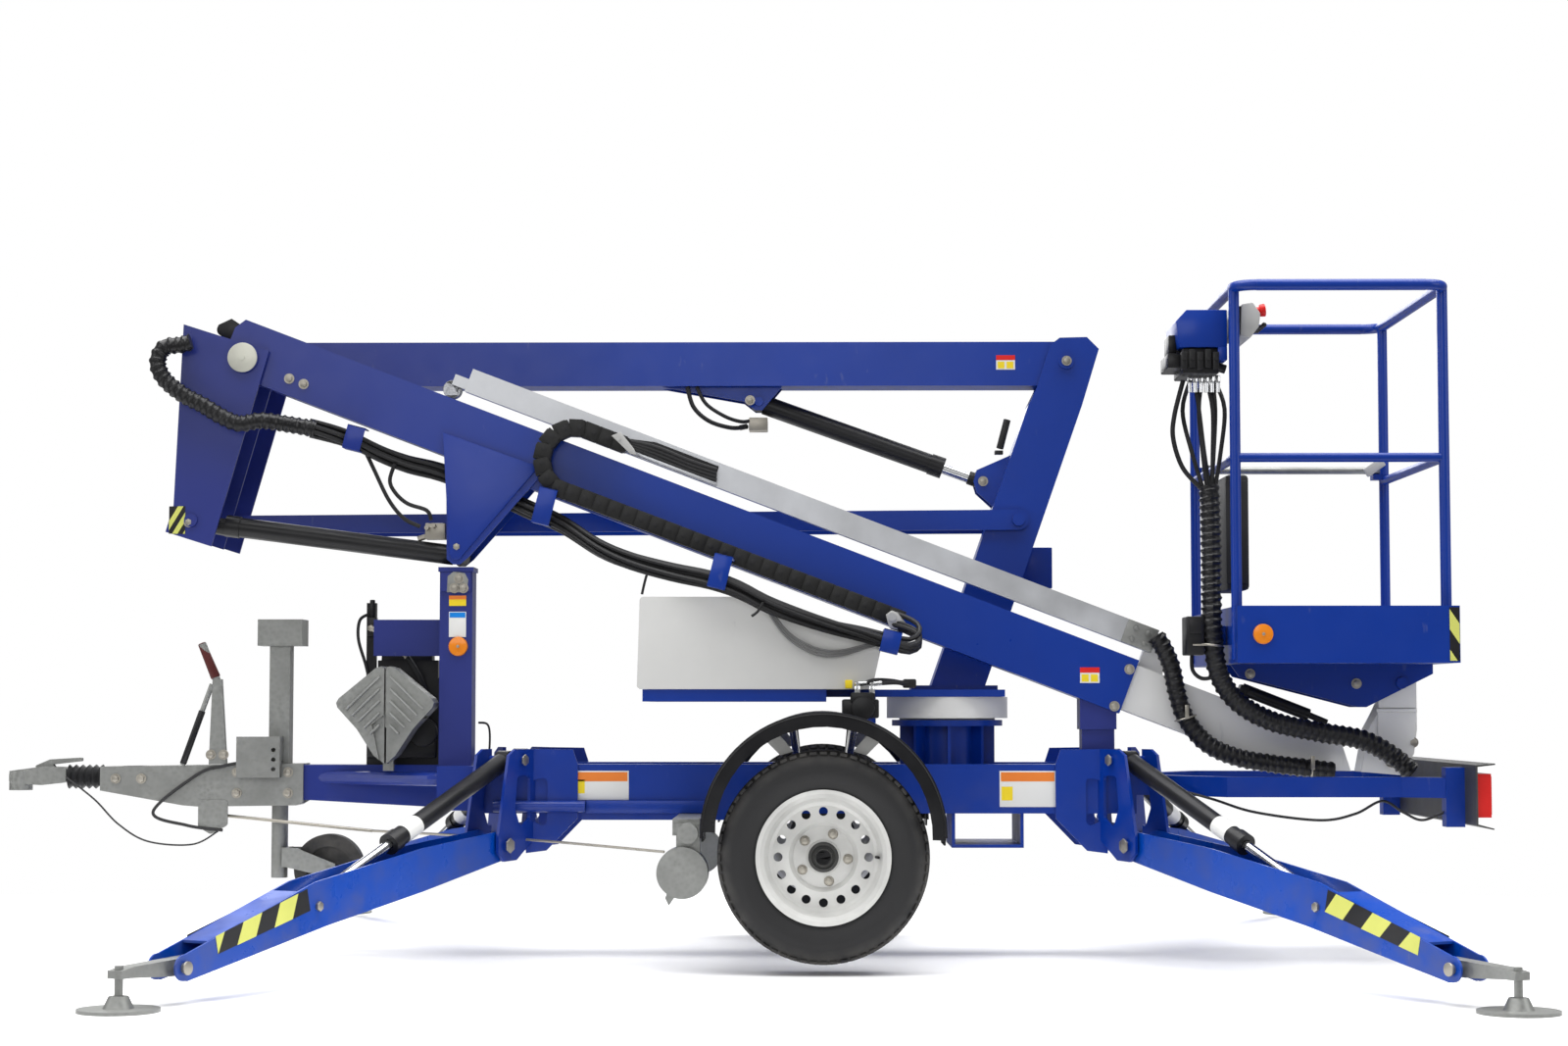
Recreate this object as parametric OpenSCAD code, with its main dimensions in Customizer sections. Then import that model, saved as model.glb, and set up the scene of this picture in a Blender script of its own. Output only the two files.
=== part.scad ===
// Towable boom lift, standing on its four outriggers with the booms stowed.
// Millimetres. X runs from the tow coupling (minus) to the lamps (plus), Z is up,
// and the origin lies on the ground at the middle of the machine.

/* [Wheels] */
// Distance of the axle from the middle of the machine
axle_x = 310; // [250:5:360]
// Height of the wheel centres, with the tyres off the ground
wheel_z = 337; // [320:1:360]
// Tyre outer radius
tyre_r = 307; // [290:1:312]
// Tyre section width
tyre_w = 185; // [165:1:205]
// Distance between the two wheels' middle planes
track = 1360; // [1300:5:1400]
// Radius of the rim flange
rim_r = 195; // [185:1:200]
// Number of vent holes in each wheel
vent_count = 16; // [8:1:18]
// Radius of the mudguard's inside
guard_r = 345; // [335:1:352]

/* [Chassis] */
// Height of the chassis top
chassis_top = 593; // [580:1:600]
// Depth of the chassis rails
rail_h = 150; // [120:5:170]
// Distance of the rails' outer faces from the middle plane
rail_y = 200; // [180:5:220]
// Width of one chassis rail
rail_w = 60; // [40:5:80]
// Diameter of the slewing ring guard
ring_d = 378; // [340:1:400]
// Distance of the slewing axis from the middle of the machine
slew_x = 700; // [670:5:720]

/* [Outriggers] */
// Distance of the leg hinges from their middle, along the machine
leg_dx = 990; // [970:5:1010]
// Distance of the leg hinges from the middle plane
leg_dy = 300; // [290:5:310]
// Length of a leg from its hinge to the pin of its foot
leg_len = 1425; // [1380:5:1450]
// Width of a leg over its side plates
leg_w = 96; // [80:2:110]
// Diameter of a foot plate
foot_d = 210; // [160:5:260]
// Diameter of the leg cylinders' barrels
leg_barrel_d = 56; // [46:1:60]

/* [Booms] */
// Height of the lower boom's pin on the king post
post_pin_z = 1862; // [1850:1:1870]
// Length of the lower boom between its pins
lower_len = 2569; // [2540:1:2590]
// Depth of the lower boom
lower_h = 140; // [120:2:150]
// Width of the lower boom
lower_w = 140; // [120:2:150]
// Length of the upper boom's outer section past its pin
upper_len = 2920; // [2850:5:2960]
// Width of the upper boom's outer section
upper_w = 130; // [120:2:140]
// Slope of the stowed upper boom, in degrees
upper_tilt = 20.95; // [20.5:0.05:21.4]
// Distance of the upper boom's middle plane from the machine's
upper_y = -130; // [-140:1:-125]
// Distance of the lower boom's middle plane from the machine's
post_y = 110; // [105:1:120]

/* [Cage] */
// Length of the cage between its post centres
cage_l = 624; // [580:2:640]
// Width of the cage between its post centres
cage_w = 1014; // [900:2:1060]
// Height of the top rail's centre above the ground
cage_top = 2027; // [1980:1:2060]
// Diameter of the cage tubes
cage_tube = 34; // [28:1:42]

/* [Hidden] */
$fn = 48;

blue = [0.02, 0.22, 0.62];
deep_blue = [0.05, 0.14, 0.45];
zinc = [0.62, 0.63, 0.63];
black = [0.06, 0.06, 0.07];
white = [0.85, 0.86, 0.86];
silver = [0.75, 0.76, 0.78];

fit = 0.4;            // running clearance of a pin in its bore
gap = 6;              // clearance of a moving piece beside its fork
plate = 10;           // plates of the chassis, posts and knuckle
rail_z = chassis_top - rail_h;
leg_mid_x = 290;

// Pins of the booms, as [x, z]
post_pin = [1083, post_pin_z];
link = [-155, -504];                                  // from each boom pin to its tie pin
tie_pin = post_pin + link;
top_pin = [post_pin[0] - lower_len, post_pin_z - 14]; // lower and upper boom on the knuckle
foot_pin = top_pin + link;                            // tie and luff cylinder on the knuckle
lift_pin = [107, post_pin_z - 122];                   // lift cylinder on the lower boom
lift_eye = [820, post_pin_z - 378];                   // lift cylinder on the king post
luff_pin = top_pin + [667, -611];                     // luff cylinder on the upper boom
cage_pin = [2084, 842];                               // cage on the inner boom
pin_r = 25;

// Parallel plate in the X-Z plane from y0 to y0 + t, of a 2D outline drawn in X and Z
module upright(y0, t) translate([0, y0 + t, 0]) rotate([90, 0, 0]) linear_extrude(t) children();

// Round bar along Y at p = [x, z]
module cross_bar(p, r, y0, y1) translate([p[0], y1, p[1]]) rotate([90, 0, 0]) cylinder(r = r, h = y1 - y0);

// Frame whose X axis runs from p to q, both [x, z]
module along(p, q) translate([p[0], 0, p[1]])
  rotate([0, -atan2(q[1] - p[1], q[0] - p[0]), 0]) children();

// Box from corner a to corner b
module block(a, b) translate(a) cube(b - a);

// Straight round bar between two points
module bar(a, b, r) {
  d = b - a;
  translate(a) rotate([0, acos(d[2] / norm(d)), atan2(d[1], d[0])]) cylinder(r = r, h = norm(d));
}

// Outline through points, with its corners rounded by r
module soft(r, pts) offset(r) offset(delta = -r) polygon(pts);

// Tube swept along points
function unit(v) = v / norm(v);
function tangent(p, i) = unit(p[min(i + 1, len(p) - 1)] - p[max(i - 1, 0)]);
function side_of(t) = unit(cross(abs(t[1]) > 0.9 ? [1, 0, 0] : [0, 1, 0], t));
module sweep(p, r, sides = 10) {
  rings = len(p);
  pts = [for (i = [0 : rings - 1]) let (t = tangent(p, i), a = side_of(t), b = cross(t, a))
    for (k = [0 : sides - 1]) p[i] + r * (cos(360 * k / sides) * a + sin(360 * k / sides) * b)];
  walls = [for (i = [0 : rings - 2], k = [0 : sides - 1]) let (n = (k + 1) % sides)
    [i * sides + k, i * sides + n, (i + 1) * sides + n, (i + 1) * sides + k]];
  caps = [[for (k = [sides - 1 : -1 : 0]) k], [for (k = [0 : sides - 1]) (rings - 1) * sides + k]];
  polyhedron(pts, concat(walls, caps));
}

// Points of a smooth curve through p, with n steps to a stretch
function spline(p, n) = concat([for (i = [0 : len(p) - 2], k = [0 : n - 1])
  let (a = p[max(i - 1, 0)], b = p[i], c = p[i + 1], d = p[min(i + 2, len(p) - 1)], t = k / n)
  0.5 * (2 * b + (c - a) * t + (2 * a - 5 * b + 4 * c - d) * t * t + (3 * b - a - 3 * c + d) * t * t * t)],
  [p[len(p) - 1]]);

// Chassis

beam_front = -1327;   // where the drawbar beam leaves its housing
cross_front = -870;   // front crossmember
cross_l = 105;
cross_y = 250;
rail_front = -740;
rail_back = 1270;
lower_channel_z = 423;
beam_w = 100;
tube_r = 21;
arm_y = 425;          // light arms
arm_w = 40;
arm_z = [500, 560];
board_x = 2205;
board_y = 650;
board_z = [425, 600];

module chassis_frame() color(blue) {
  for (s = [-1, 1]) {
    block([rail_front, s > 0 ? rail_y - rail_w : -rail_y, rail_z],
      [rail_back, s > 0 ? rail_y : rail_w - rail_y, chassis_top]);
    block([-430, s > 0 ? rail_y - rail_w : -rail_y, lower_channel_z],
      [20, s > 0 ? rail_y : rail_w - rail_y, rail_z]);
    // Light arms at the back
    mirror([0, s > 0 ? 0 : 1, 0]) translate([0, 0, arm_z[0]]) linear_extrude(arm_z[1] - arm_z[0])
      polygon([[1262, rail_y - arm_w], [1375, rail_y - arm_w], [1535, arm_y - arm_w], [2045, arm_y - arm_w], [2175, 455],
        [2175, 495], [2150, 488], [2035, arm_y], [1515, arm_y], [1355, rail_y], [1262, rail_y]]);
    block([2150, s * 470 - 30, 415], [board_x, s * 470 + 30, 590]);
  }
  // Crossmembers
  for (x = [-740, -100, 480, 1190]) block([x, -rail_y + rail_w, rail_z + 15], [x + 80, rail_y - rail_w, chassis_top - 15]);
  block([cross_front, -cross_y, rail_z + 10], [cross_front + cross_l + 30, cross_y, chassis_top - 5]);
  // Tapered drawbar beam
  upright(-beam_w / 2, beam_w)
    polygon([[beam_front, 480], [cross_front, 455], [cross_front, chassis_top - 5], [beam_front, chassis_top - 5]]);
  // Fork pockets
  block([705, -rail_y + 8, rail_z - 105], [925, rail_y - 8, rail_z - 95]);
  block([705, -rail_y + 8, rail_z - 100], [715, rail_y - 8, rail_z + 5]);
  block([915, -rail_y + 8, rail_z - 100], [925, rail_y - 8, rail_z + 5]);
  // Pedestal under the slewing ring
  translate([slew_x, 0, rail_z + 30]) cylinder(r = 105, h = 725 - rail_z - 30);
  for (a = [0 : 45 : 315]) translate([slew_x, 0, 0]) rotate([0, 0, a])
    block([95, -5, chassis_top - 60], [148, 5, 725]);
  translate([slew_x, 0, 710]) cylinder(r = ring_d / 2 - 16, h = 18);
  block([slew_x - 150, -rail_y + rail_w, rail_z], [slew_x + 130, rail_y - rail_w, chassis_top - 2]);
}

// Bent tubes from the drawbar beam to the front crossmember
tube_line = [[-1262, 30], [-1110, 88], [-975, 170], [-895, 212], [-845, 224]];

module drawbar_tubes() color(blue) difference() {
  for (s = [-1, 1]) sweep(spline([for (p = tube_line) [p[0], s * p[1], 548]], 3), tube_r, 12);
  block([beam_front, -beam_w / 2, 400], [cross_front, beam_w / 2, 700]);
  block([cross_front, -cross_y, 400], [cross_front + cross_l, cross_y, 700]);
}

corners = [[-1, -1], [-1, 1], [1, -1], [1, 1]];       // [along X, along Y] of each outrigger
pad_dx = 1766;
pad_dy = 1718;
function leg_angle(c) = atan2(c[1] * (pad_dy - leg_dy), c[0] * (pad_dx - leg_dx));
module at_corner(c) translate([leg_mid_x + c[0] * leg_dx, c[1] * leg_dy, 0]) rotate([0, 0, leg_angle(c)]) children();

leg_z = 351;                   // height of the leg hinges
cyl_top = [-77, 607];          // upper pin of a leg cylinder, [out from the hinge, height]
cyl_eye = [880, 222];          // its rod's pin in the leg
tip = [leg_len, 97];           // pin of the foot
leg_pin_r = 16;
cheek_in = leg_w / 2 + gap;

module outrigger_brackets() color(blue) difference() {
  for (c = corners) outrigger_bracket(c);
  block([cross_front - 100, -rail_y, 200], [rail_back + 200, rail_y, 800]);
  block([cross_front, -cross_y, rail_z + 10], [cross_front + cross_l + 30, cross_y, chassis_top - 5]);
}

module outrigger_bracket(c) {
  at_corner(c) {
    for (s = [-1, 1]) difference() {
      upright(s > 0 ? cheek_in : -cheek_in - plate, plate) difference() {
        polygon([[-165, 640], [-40, 640], [-8, 622], [46, 380], [46, 330], [15, 303], [-50, 305], [-165, 380]]);
        soft(14, [[-120, 560], [-52, 560], [-40, 460], [-70, 400], [-120, 430]]);
      }
      cross_bar([0, leg_z], leg_pin_r, -200, 200);
      cross_bar(cyl_top, 13, -200, 200);
    }
    cross_bar([0, leg_z], leg_pin_r - fit / 2, -cheek_in - plate - 9, cheek_in + plate + 9);
    cross_bar(cyl_top, 13 - fit / 2, -cheek_in - plate - 6, cheek_in + plate + 6);
  }
  // Outer plate beside the chassis rail
  x0 = leg_mid_x + c[0] * leg_dx;
  translate([x0, 0, 0]) mirror([c[0] > 0 ? 1 : 0, 0, 0])
    upright(c[1] > 0 ? rail_y : -rail_y - plate, plate) difference() {
      polygon([[100, 640], [243, 638], [258, 593], [258, 428], [163, 330], [100, 322]]);
      soft(14, [[120, 545], [165, 554], [165, 400], [120, 420]]);
    }
}

module leg(c) color(blue) at_corner(c) difference() {
  union() {
    for (s = [-1, 1]) upright(s > 0 ? leg_w / 2 - 6 : -leg_w / 2, 6) difference() {
      union() {
        polygon([[0, leg_z + 45], [400, 360], [893, 289], [leg_len, 130], [leg_len - 12, 62], [838, 167],
          [400, 235], [0, leg_z - 45]]);
        translate([0, leg_z]) circle(r = 45);
        translate(tip) circle(r = 34);
      }
      translate([0, leg_z]) circle(r = leg_pin_r + 0.3);
    }
    // Bottom plate and the top plate of the outer half
    upright(-leg_w / 2 + 6, leg_w - 12)
      polygon([[120, 290], [400, 241], [838, 173], [1330, 83], [1330, 77], [838, 167], [400, 235], [120, 284]]);
    upright(-leg_w / 2 + 6, leg_w - 12)
      polygon([[965, 267.6], [1330, 159], [1330, 152], [965, 260.6]]);
    cross_bar([60, leg_z - 20], 14, -leg_w / 2 + 3, leg_w / 2 - 3);
  }
  cross_bar(tip, 14, -100, 100);
}

foot_s = norm([pad_dx - leg_dx, pad_dy - leg_dy]);

module foot(c) color(zinc) at_corner(c) {
  difference() {
    upright(-24, 48) polygon([[leg_len - 60, 122], [leg_len - 60, 78], [leg_len + 20, 76], [foot_s - 18, 84],
      [foot_s + 16, 84], [foot_s + 16, 104], [foot_s - 30, 112]]);
    cross_bar(tip, 14, -100, 100);
  }
  cross_bar(tip, 14 - fit / 2, -leg_w / 2 - 8, leg_w / 2 + 8);
  translate([foot_s, 0, 34]) cylinder(r = 11, h = 82);
  translate([foot_s, 0, 8]) cylinder(r1 = 40, r2 = 25, h = 32);
  translate([foot_s, 0, 0]) cylinder(r = foot_d / 2, h = 9);
}

cyl_len = norm(cyl_eye - cyl_top);
barrel_len = 625;
rod_in = 440;                  // inner end of the rod from the barrel's pin

module leg_barrel(c) color(black) at_corner(c) along(cyl_top, cyl_eye) difference() {
  union() {
    cross_bar([0, 0], 28, -22, 22);
    rotate([0, 90, 0]) translate([0, 0, 22]) cylinder(r = leg_barrel_d / 2, h = barrel_len - 22);
    rotate([0, 90, 0]) translate([0, 0, barrel_len - 40]) cylinder(r = leg_barrel_d / 2 + 4, h = 40);
  }
  cross_bar([0, 0], 13.3, -40, 40);
  rotate([0, 90, 0]) translate([0, 0, 60]) cylinder(r = 16, h = barrel_len);
}

module leg_rod(c) color(silver) at_corner(c) along(cyl_top, cyl_eye) {
  rotate([0, 90, 0]) translate([0, 0, rod_in]) cylinder(r = 15, h = cyl_len - rod_in - 18);
  cross_bar([cyl_len, 0], 24, -30, 30);
}

// Drawbar

housing_front = -1949;
housing_back = beam_front + 14;

module drawbar_housing() color(zinc) {
  difference() {
    upright(-60, 120) polygon([[housing_front, 508], [housing_front, 582], [housing_back, 592],
      [housing_back, 474], [beam_front - 6, 462], [-1640, 458], [-1690, 462]]);
    translate([jack_x, 0, 400]) cylinder(r = 46, h = 300);
    block([housing_front + 60, -54, 400], [beam_front - 70, 54, 584]);
    block([beam_front - 0.3, -50.3, 400], [housing_back + 5, 50.3, 588.3]);
  }
  // Handbrake: bracket below, channel lever, grip and gas strut
  upright(-62, 8) soft(12, [[-1640, 480], [-1548, 480], [-1548, 400], [-1600, 372], [-1640, 395]]);
  upright(-72, 24) polygon([[-1607, 590], [-1552, 590], [-1570, 855], [-1598, 855]]);
  bar([-1586, -60, 850], [-1634, -60, 965], 13);
  bar([-1690, -66, 588], [-1600, -66, 840], 8);
}

coupling_tip = -2249;
ball_r = 25;

module coupling_head() color(zinc) {
  difference() {
    union() {
      upright(-30, 60) soft(12, [[coupling_tip + 6, 528], [coupling_tip + 6, 568], [-2140, 582], [-2064, 580],
        [-2064, 532], [-2140, 524]]);
      translate([coupling_tip + 36, 0, 508]) cylinder(r = 36, h = 60);
    }
    translate([coupling_tip + 36, 0, 500]) cylinder(r = ball_r, h = 50);
  }
  upright(-12, 24) soft(4, [[-2180, 578], [-2120, 604], [-2020, 610], [-2020, 598], [-2110, 588], [-2100, 578]]);
}

module drawbar_bellows() color(black) translate([-2063.7, 0, 550]) rotate([0, 90, 0]) rotate_extrude()
  polygon(concat([[0, 0]], [for (i = [0 : 10]) [i % 2 == 0 ? 38 : 29, 4 + i * 10.5]], [[26, 114.4], [0, 114.4]]));

jack_x = -1395;
jack_tube = 64;
jack_bore_r = 26;

module jack_sleeve() color(zinc) {
  difference() {
    union() {
      block([jack_x - jack_tube / 2, -jack_tube / 2, 480], [jack_x + jack_tube / 2, jack_tube / 2, 965]);
      block([jack_x - 68, -48, 960], [jack_x + 72, 62, 1043]);
    }
    translate([jack_x, 0, 400]) cylinder(r = jack_bore_r, h = 550);
  }
  // Clamp with its adjusting holes
  difference() {
    block([jack_x - 122, -92, 549], [jack_x + 14, -60.3, 676]);
    block([jack_x - 130, -84, 540], [jack_x + 6, -50, 668]);
    for (z = [575, 605, 635]) cross_bar([jack_x - 6, z], 7, -100, -50);
  }
  block([jack_x - 30, -61, 600], [jack_x + 14, -jack_tube / 2, 676]);
}

jockey = [-1237, 263];
jockey_r = 108;

module jack_leg() color(zinc) {
  translate([jack_x, 0, 235]) cylinder(r = jack_bore_r - 0.5, h = 600);
  block([jack_x + 15, -46, 270], [jack_x + 35, 46, 330]);
  for (s = [-1, 1]) upright(s > 0 ? 40 : -46, 6)
    polygon([[jack_x + 16, 329], [jack_x + 60, 329], [jockey[0] + 24, 280], [jockey[0] + 24, 246], [jockey[0] + 8, 238],
      [jack_x + 16, 272]]);
  cross_bar(jockey, 10 - fit / 2, -52, 52);
}

module jockey_wheel() color(black) difference() {
  union() {
    cross_bar(jockey, jockey_r, -26, 26);
    cross_bar(jockey, 24, -34, 34);
  }
  cross_bar(jockey, 10, -60, 60);
  for (s = [-1, 1]) translate([jockey[0], s > 0 ? 30 : -16, jockey[1]]) rotate([90, 0, 0])
    difference() {
      cylinder(r = 70, h = 14);
      translate([0, 0, -1]) cylinder(r = 24, h = 16);
    }
}

// Front of the chassis: boom post, engine, chocks

post_x = [-874, -773];
post_z = [chassis_top - 5, 1186];

module boom_post() color(blue) {
  difference() {
    block([post_x[0], upper_y - 50, post_z[0]], [post_x[1], upper_y + 50, post_z[1]]);
    block([post_x[0] + 6, upper_y - 44, post_z[0] + 10], [post_x[1] - 6, upper_y + 44, post_z[1] - 10]);
  }
  block([post_x[0] - 4, upper_y - 60, post_z[1]], [post_x[1] + 4, upper_y + 60, post_z[1] + 14]);
  block([post_x[0] + 4, upper_y - 58, 1125], [post_x[1] - 4, upper_y - 50, 1185]);
  block([-1090, upper_y + 30, 927], [post_x[0], upper_y + 42, 1040]);
}

module engine_pack() color(black) {
  block([-1120, -30, post_z[0] + 0.3], [-885, 210, 860]);
  block([-1090, -10, 860], [-900, 190, 915]);
  translate([-1000, 100, 915]) cylinder(r = 70, h = 60);
  block([-1125, -20, 860], [-1096, 10, 1095]);
}

chock_x = -1032;

// One wheel chock, stood on its point and leaning outwards
module chock() difference() {
  upright(0, 118) polygon([[3, 0], [34, 26], [60, 66], [86, 106], [146, 172], [150, 186], [142, 200], [30, 292],
    [12, 298], [3, 292]]);
  for (k = [0 : 2]) upright(14, 90) translate([134 - 8 * k, 180 - 24 * k]) rotate(139) translate([0, -14])
    square([118, 11]);
  upright(-1, 15) polygon([[3, -1], [14, -1], [40, 120], [3, 150]]);
}

module wheel_chocks() color(zinc) translate([chock_x, -240, chassis_top + 2]) {
  chock();
  mirror([1, 0, 0]) chock();
  block([-4, 20, 110], [4, 110, 286]);
  // Foot on the drawbar tube
  block([-16, 78, -23], [16, 104, 30]);
}

// Running gear

axle_r = 35;
hub_y = track / 2 - 40;

module axle() color(black) {
  bar([axle_x, -hub_y, wheel_z], [axle_x, hub_y, wheel_z], axle_r);
  for (s = [-1, 1]) {
    cross_bar([axle_x, wheel_z], 110, s > 0 ? hub_y - 70 : -hub_y + 10, s > 0 ? hub_y - 10 : -hub_y + 70);
    block([axle_x - 60, s > 0 ? rail_y - rail_w : -rail_y, wheel_z], [axle_x + 60, s > 0 ? rail_y : rail_w - rail_y, rail_z]);
    cross_bar([axle_x, wheel_z], 22, s > 0 ? hub_y - 5 : -track / 2 - 60, s > 0 ? track / 2 + 60 : -hub_y + 5);
  }
}

module tyre(s) color(black) translate([axle_x, s * track / 2, wheel_z]) rotate([90, 0, 0]) rotate_extrude($fn = 72)
  polygon([[178, -62], [185, -72], [205, -82], [250, -tyre_w / 2], [285, -88], [tyre_r - 5, -72], [tyre_r, -55],
    [tyre_r, 55], [tyre_r - 5, 72], [285, 88], [250, tyre_w / 2], [205, 82], [185, 72], [178, 62]]);

// The disc's outer side faces away from the middle plane
module rim(s) color(white) translate([axle_x, s * track / 2, wheel_z]) rotate([-90 * s, 0, 0]) difference() {
  rotate_extrude($fn = 72) polygon([[23, 2], [23, 30], [46, 30], [50, 22], [88, 16], [100, 34], [148, 26], [158, 30],
    [164, 44], [171, 66], [183, 80], [rim_r, 84], [rim_r, 79], [184, 73.5], [177.5, 63], [177.5, -63],
    [184, -73.5], [rim_r, -79], [rim_r, -84], [183, -80], [171, -66], [164, -50], [160, 14], [150, 18],
    [102, 25], [90, 7], [50, 10], [46, 2]]);
  for (a = [0 : 360 / vent_count : 359]) rotate([0, 0, a]) translate([131, 0, 0]) cylinder(r = 13, h = 60);
}

module mudguards() color(black) for (s = [-1, 1]) translate([0, s * (track / 2 + 2), 0]) {
  translate([axle_x, 0, 400]) intersection() {
    rotate([90, 0, 0]) difference() {
      translate([0, 0, -104]) cylinder(r = guard_r + 5, h = 208, $fn = 96);
      translate([0, 0, -110]) cylinder(r = guard_r, h = 220, $fn = 96);
    }
    upright(-120, 240) polygon([[0, -40], [-500, -5], [-500, 500], [500, 500], [500, -20]]);
  }
  // Stays to the chassis
  difference() {
    for (x = [-95, 95]) bar([axle_x + x, -s * 60, 398 + sqrt(guard_r * guard_r - x * x)],
      [axle_x + x * 0.8, s * (rail_y - 20 - track / 2), chassis_top - 12], 10);
    translate([0, -s * (track / 2 + 2), 0]) block([0, -rail_y, 400], [700, rail_y, 700]);
  }
}

module traction_drives() color(zinc) for (s = [-1, 1]) translate([0, s * 620, 0]) {
  cross_bar([-100, 288], 75, -45, 45);
  cross_bar([-84, 403], 30, -60, 60);
  upright(-30, 60) polygon([[-118, 430], [-50, 430], [-50, 320], [-100, 250], [-139, 193], [-150, 215], [-118, 300]]);
  block([-130, s > 0 ? -(620 - rail_y) : -10, 395], [-50, s > 0 ? 10 : 620 - rail_y, rail_z - 0.3]);
}

function under_boom(x) = top_pin[1] + upper_bottom / cos(upper_tilt) - (x - top_pin[0]) * tan(upper_tilt);

module boom_rest() color(black) {
  x = [1100, 1212];
  color(blue) block([x[0] + 6, upper_y - 48, chassis_top], [x[1] - 6, upper_y + 40, 705]);
  upright(upper_y - 56, 104) polygon([[x[0], 700], [x[1], 700], [x[1], under_boom(x[1]) - 0.3], [x[0], under_boom(x[0]) - 0.3]]);
}

// Lamps

module light_board() color([0.25, 0.25, 0.25]) {
  upright(-board_y, 2 * board_y) polygon([[board_x, board_z[0]], [board_x, board_z[1]], [board_x + 55, board_z[1] + 5],
    [board_x + 55, board_z[1] + 1], [board_x + 4, board_z[1] - 5], [board_x + 4, board_z[0] + 4],
    [board_x + 50, board_z[0] - 8], [board_x + 50, board_z[0] - 12]]);
}

module tail_lamps() color([0.8, 0.05, 0.04]) for (s = [-1, 1])
  block([board_x + 4, s > 0 ? board_y - 175 : -board_y + 15, 448], [board_x + 46, s > 0 ? board_y - 15 : -board_y + 175, 575]);

// Slewing part

deck_z = 800;
deck_t = 22;

module slew_ring() color(white) translate([slew_x, 0, 0]) {
  translate([0, 0, 728]) cylinder(r = 150, h = 8);
  translate([0, 0, 734]) cylinder(r = ring_d / 2, h = deck_z - 0.3 - 734);
}

module turntable() color(blue) {
  block([510, -190, deck_z], [870, 200, deck_z + deck_t]);
  block([300, -190, deck_z], [515, 200, deck_z + deck_t]);
  difference() {
    block([-235, -365, deck_z - 15], [320, 325, deck_z + deck_t]);
    block([-231, -361, deck_z - 16], [316, 321, deck_z + deck_t - 4]);
  }
  // Slewing motor under the deck
  translate([440, -215, 718]) cylinder(r = 32, h = 100);
  block([405, -250, deck_z], [475, -180, deck_z + deck_t]);
}

module power_cover() color(white) {
  difference() {
    upright(-370, 700) soft(12, [[-252, deck_z + deck_t + 0.3], [-244, 1101], [150, 1101], [485, 945], [458, deck_z + deck_t + 0.3]]);
    upright(-366, 692) polygon([[-247, deck_z + deck_t - 1], [-240, 1096], [149, 1096], [480, 941], [453, deck_z + deck_t - 1]]);
  }
}

lean = 19.3;                                        // of the king post, in degrees
post_w = lower_w + 2 * gap + 2 * plate;
function post_edge(z) = 647 + (z - 822) * tan(lean);  // front edge of the king post at height z
post_d = 170;

module king_post() color(blue) {
  z0 = deck_z + deck_t;
  difference() {
    union() {
      upright(post_y - post_w / 2, post_w)
        polygon([[post_edge(z0), z0], [post_edge(1724), 1724], [post_edge(1724) + post_d, 1724], [post_edge(z0) + post_d, z0]]);
      for (y = [post_y - post_w / 2, post_y + post_w / 2 - plate]) upright(y, plate)
        polygon([[post_edge(1715), 1715], [post_edge(1724), 1724], [990, 1780], [post_pin[0] - 50, 1915],
          [post_pin[0] - 20, 1938], [post_pin[0] + 66, 1940], [post_pin[0] + 104, 1902], [post_edge(1724) + post_d, 1724],
          [post_edge(1715) + post_d, 1715]]);
      // Lugs of the lift cylinder
      for (y = [post_y - 45, post_y + 35]) upright(y, 10)
        polygon([[post_edge(1570) + 5, 1570], [800, 1520], [790, 1484], [800, 1450], [post_edge(1400) + 5, 1400]]);
    }
    upright(post_y - post_w / 2 + plate, post_w - 2 * plate)
      polygon([[post_edge(z0 + 12) + 10, z0 + 12], [post_edge(1712) + 10, 1712], [post_edge(1712) + post_d - 10, 1712],
        [post_edge(z0 + 12) + post_d - 10, z0 + 12]]);
  }
  cross_bar(post_pin, pin_r - fit, post_y - post_w / 2 - 8, post_y + post_w / 2 + 8);
  cross_bar(tie_pin, 20 - fit, post_y - post_w / 2 - 30, post_y - post_w / 2 + 1);
  cross_bar(tie_pin, 20 - fit, post_y + post_w / 2 - 1, post_y + post_w / 2 + 30);
  // Foot boxes on the deck
  block([post_edge(822) - 60, post_y - 150, z0], [post_edge(822) + post_d + 40, post_y + 60, z0 + 14]);
}

module lower_boom() color(blue) {
  difference() {
    union() {
      upright(post_y - lower_w / 2, lower_w) difference() {
        polygon([[top_pin[0] - 40, 1787], [top_pin[0] - 62, 1810], [top_pin[0] - 62, 1900], [top_pin[0] - 40, 1787 + lower_h],
          [post_pin[0] + 40, 1787 + lower_h], [post_pin[0] + 62, 1900], [post_pin[0] + 62, 1810], [post_pin[0] + 40, 1787]]);
        polygon([[top_pin[0] + 90, 1795], [top_pin[0] + 90, 1779 + lower_h], [post_pin[0] - 90, 1779 + lower_h], [post_pin[0] - 90, 1795]]);
      }
      for (y = [post_y - lower_w / 2, post_y + lower_w / 2 - 8]) upright(y, 8)
        polygon([[top_pin[0] + 80, 1790], [top_pin[0] + 80, 1784 + lower_h], [post_pin[0] - 80, 1784 + lower_h], [post_pin[0] - 80, 1790]]);
      for (y = [post_y - 45, post_y + 35]) upright(y, 10)
        polygon([[-231, 1792], [185, 1792], [140, 1738], [118, 1712], [96, 1712], [60, 1740]]);
    }
    cross_bar(post_pin, pin_r, -300, 300);
    cross_bar(top_pin, pin_r, -300, 300);
    cross_bar(lift_pin, 15, 0, 300);
  }
  cross_bar(lift_pin, 15 - fit, post_y - 52, post_y + 52);
}

tie_h = 56;
tie_y = post_w / 2 + 11;             // from the post's middle plane to each bar's middle

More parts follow.
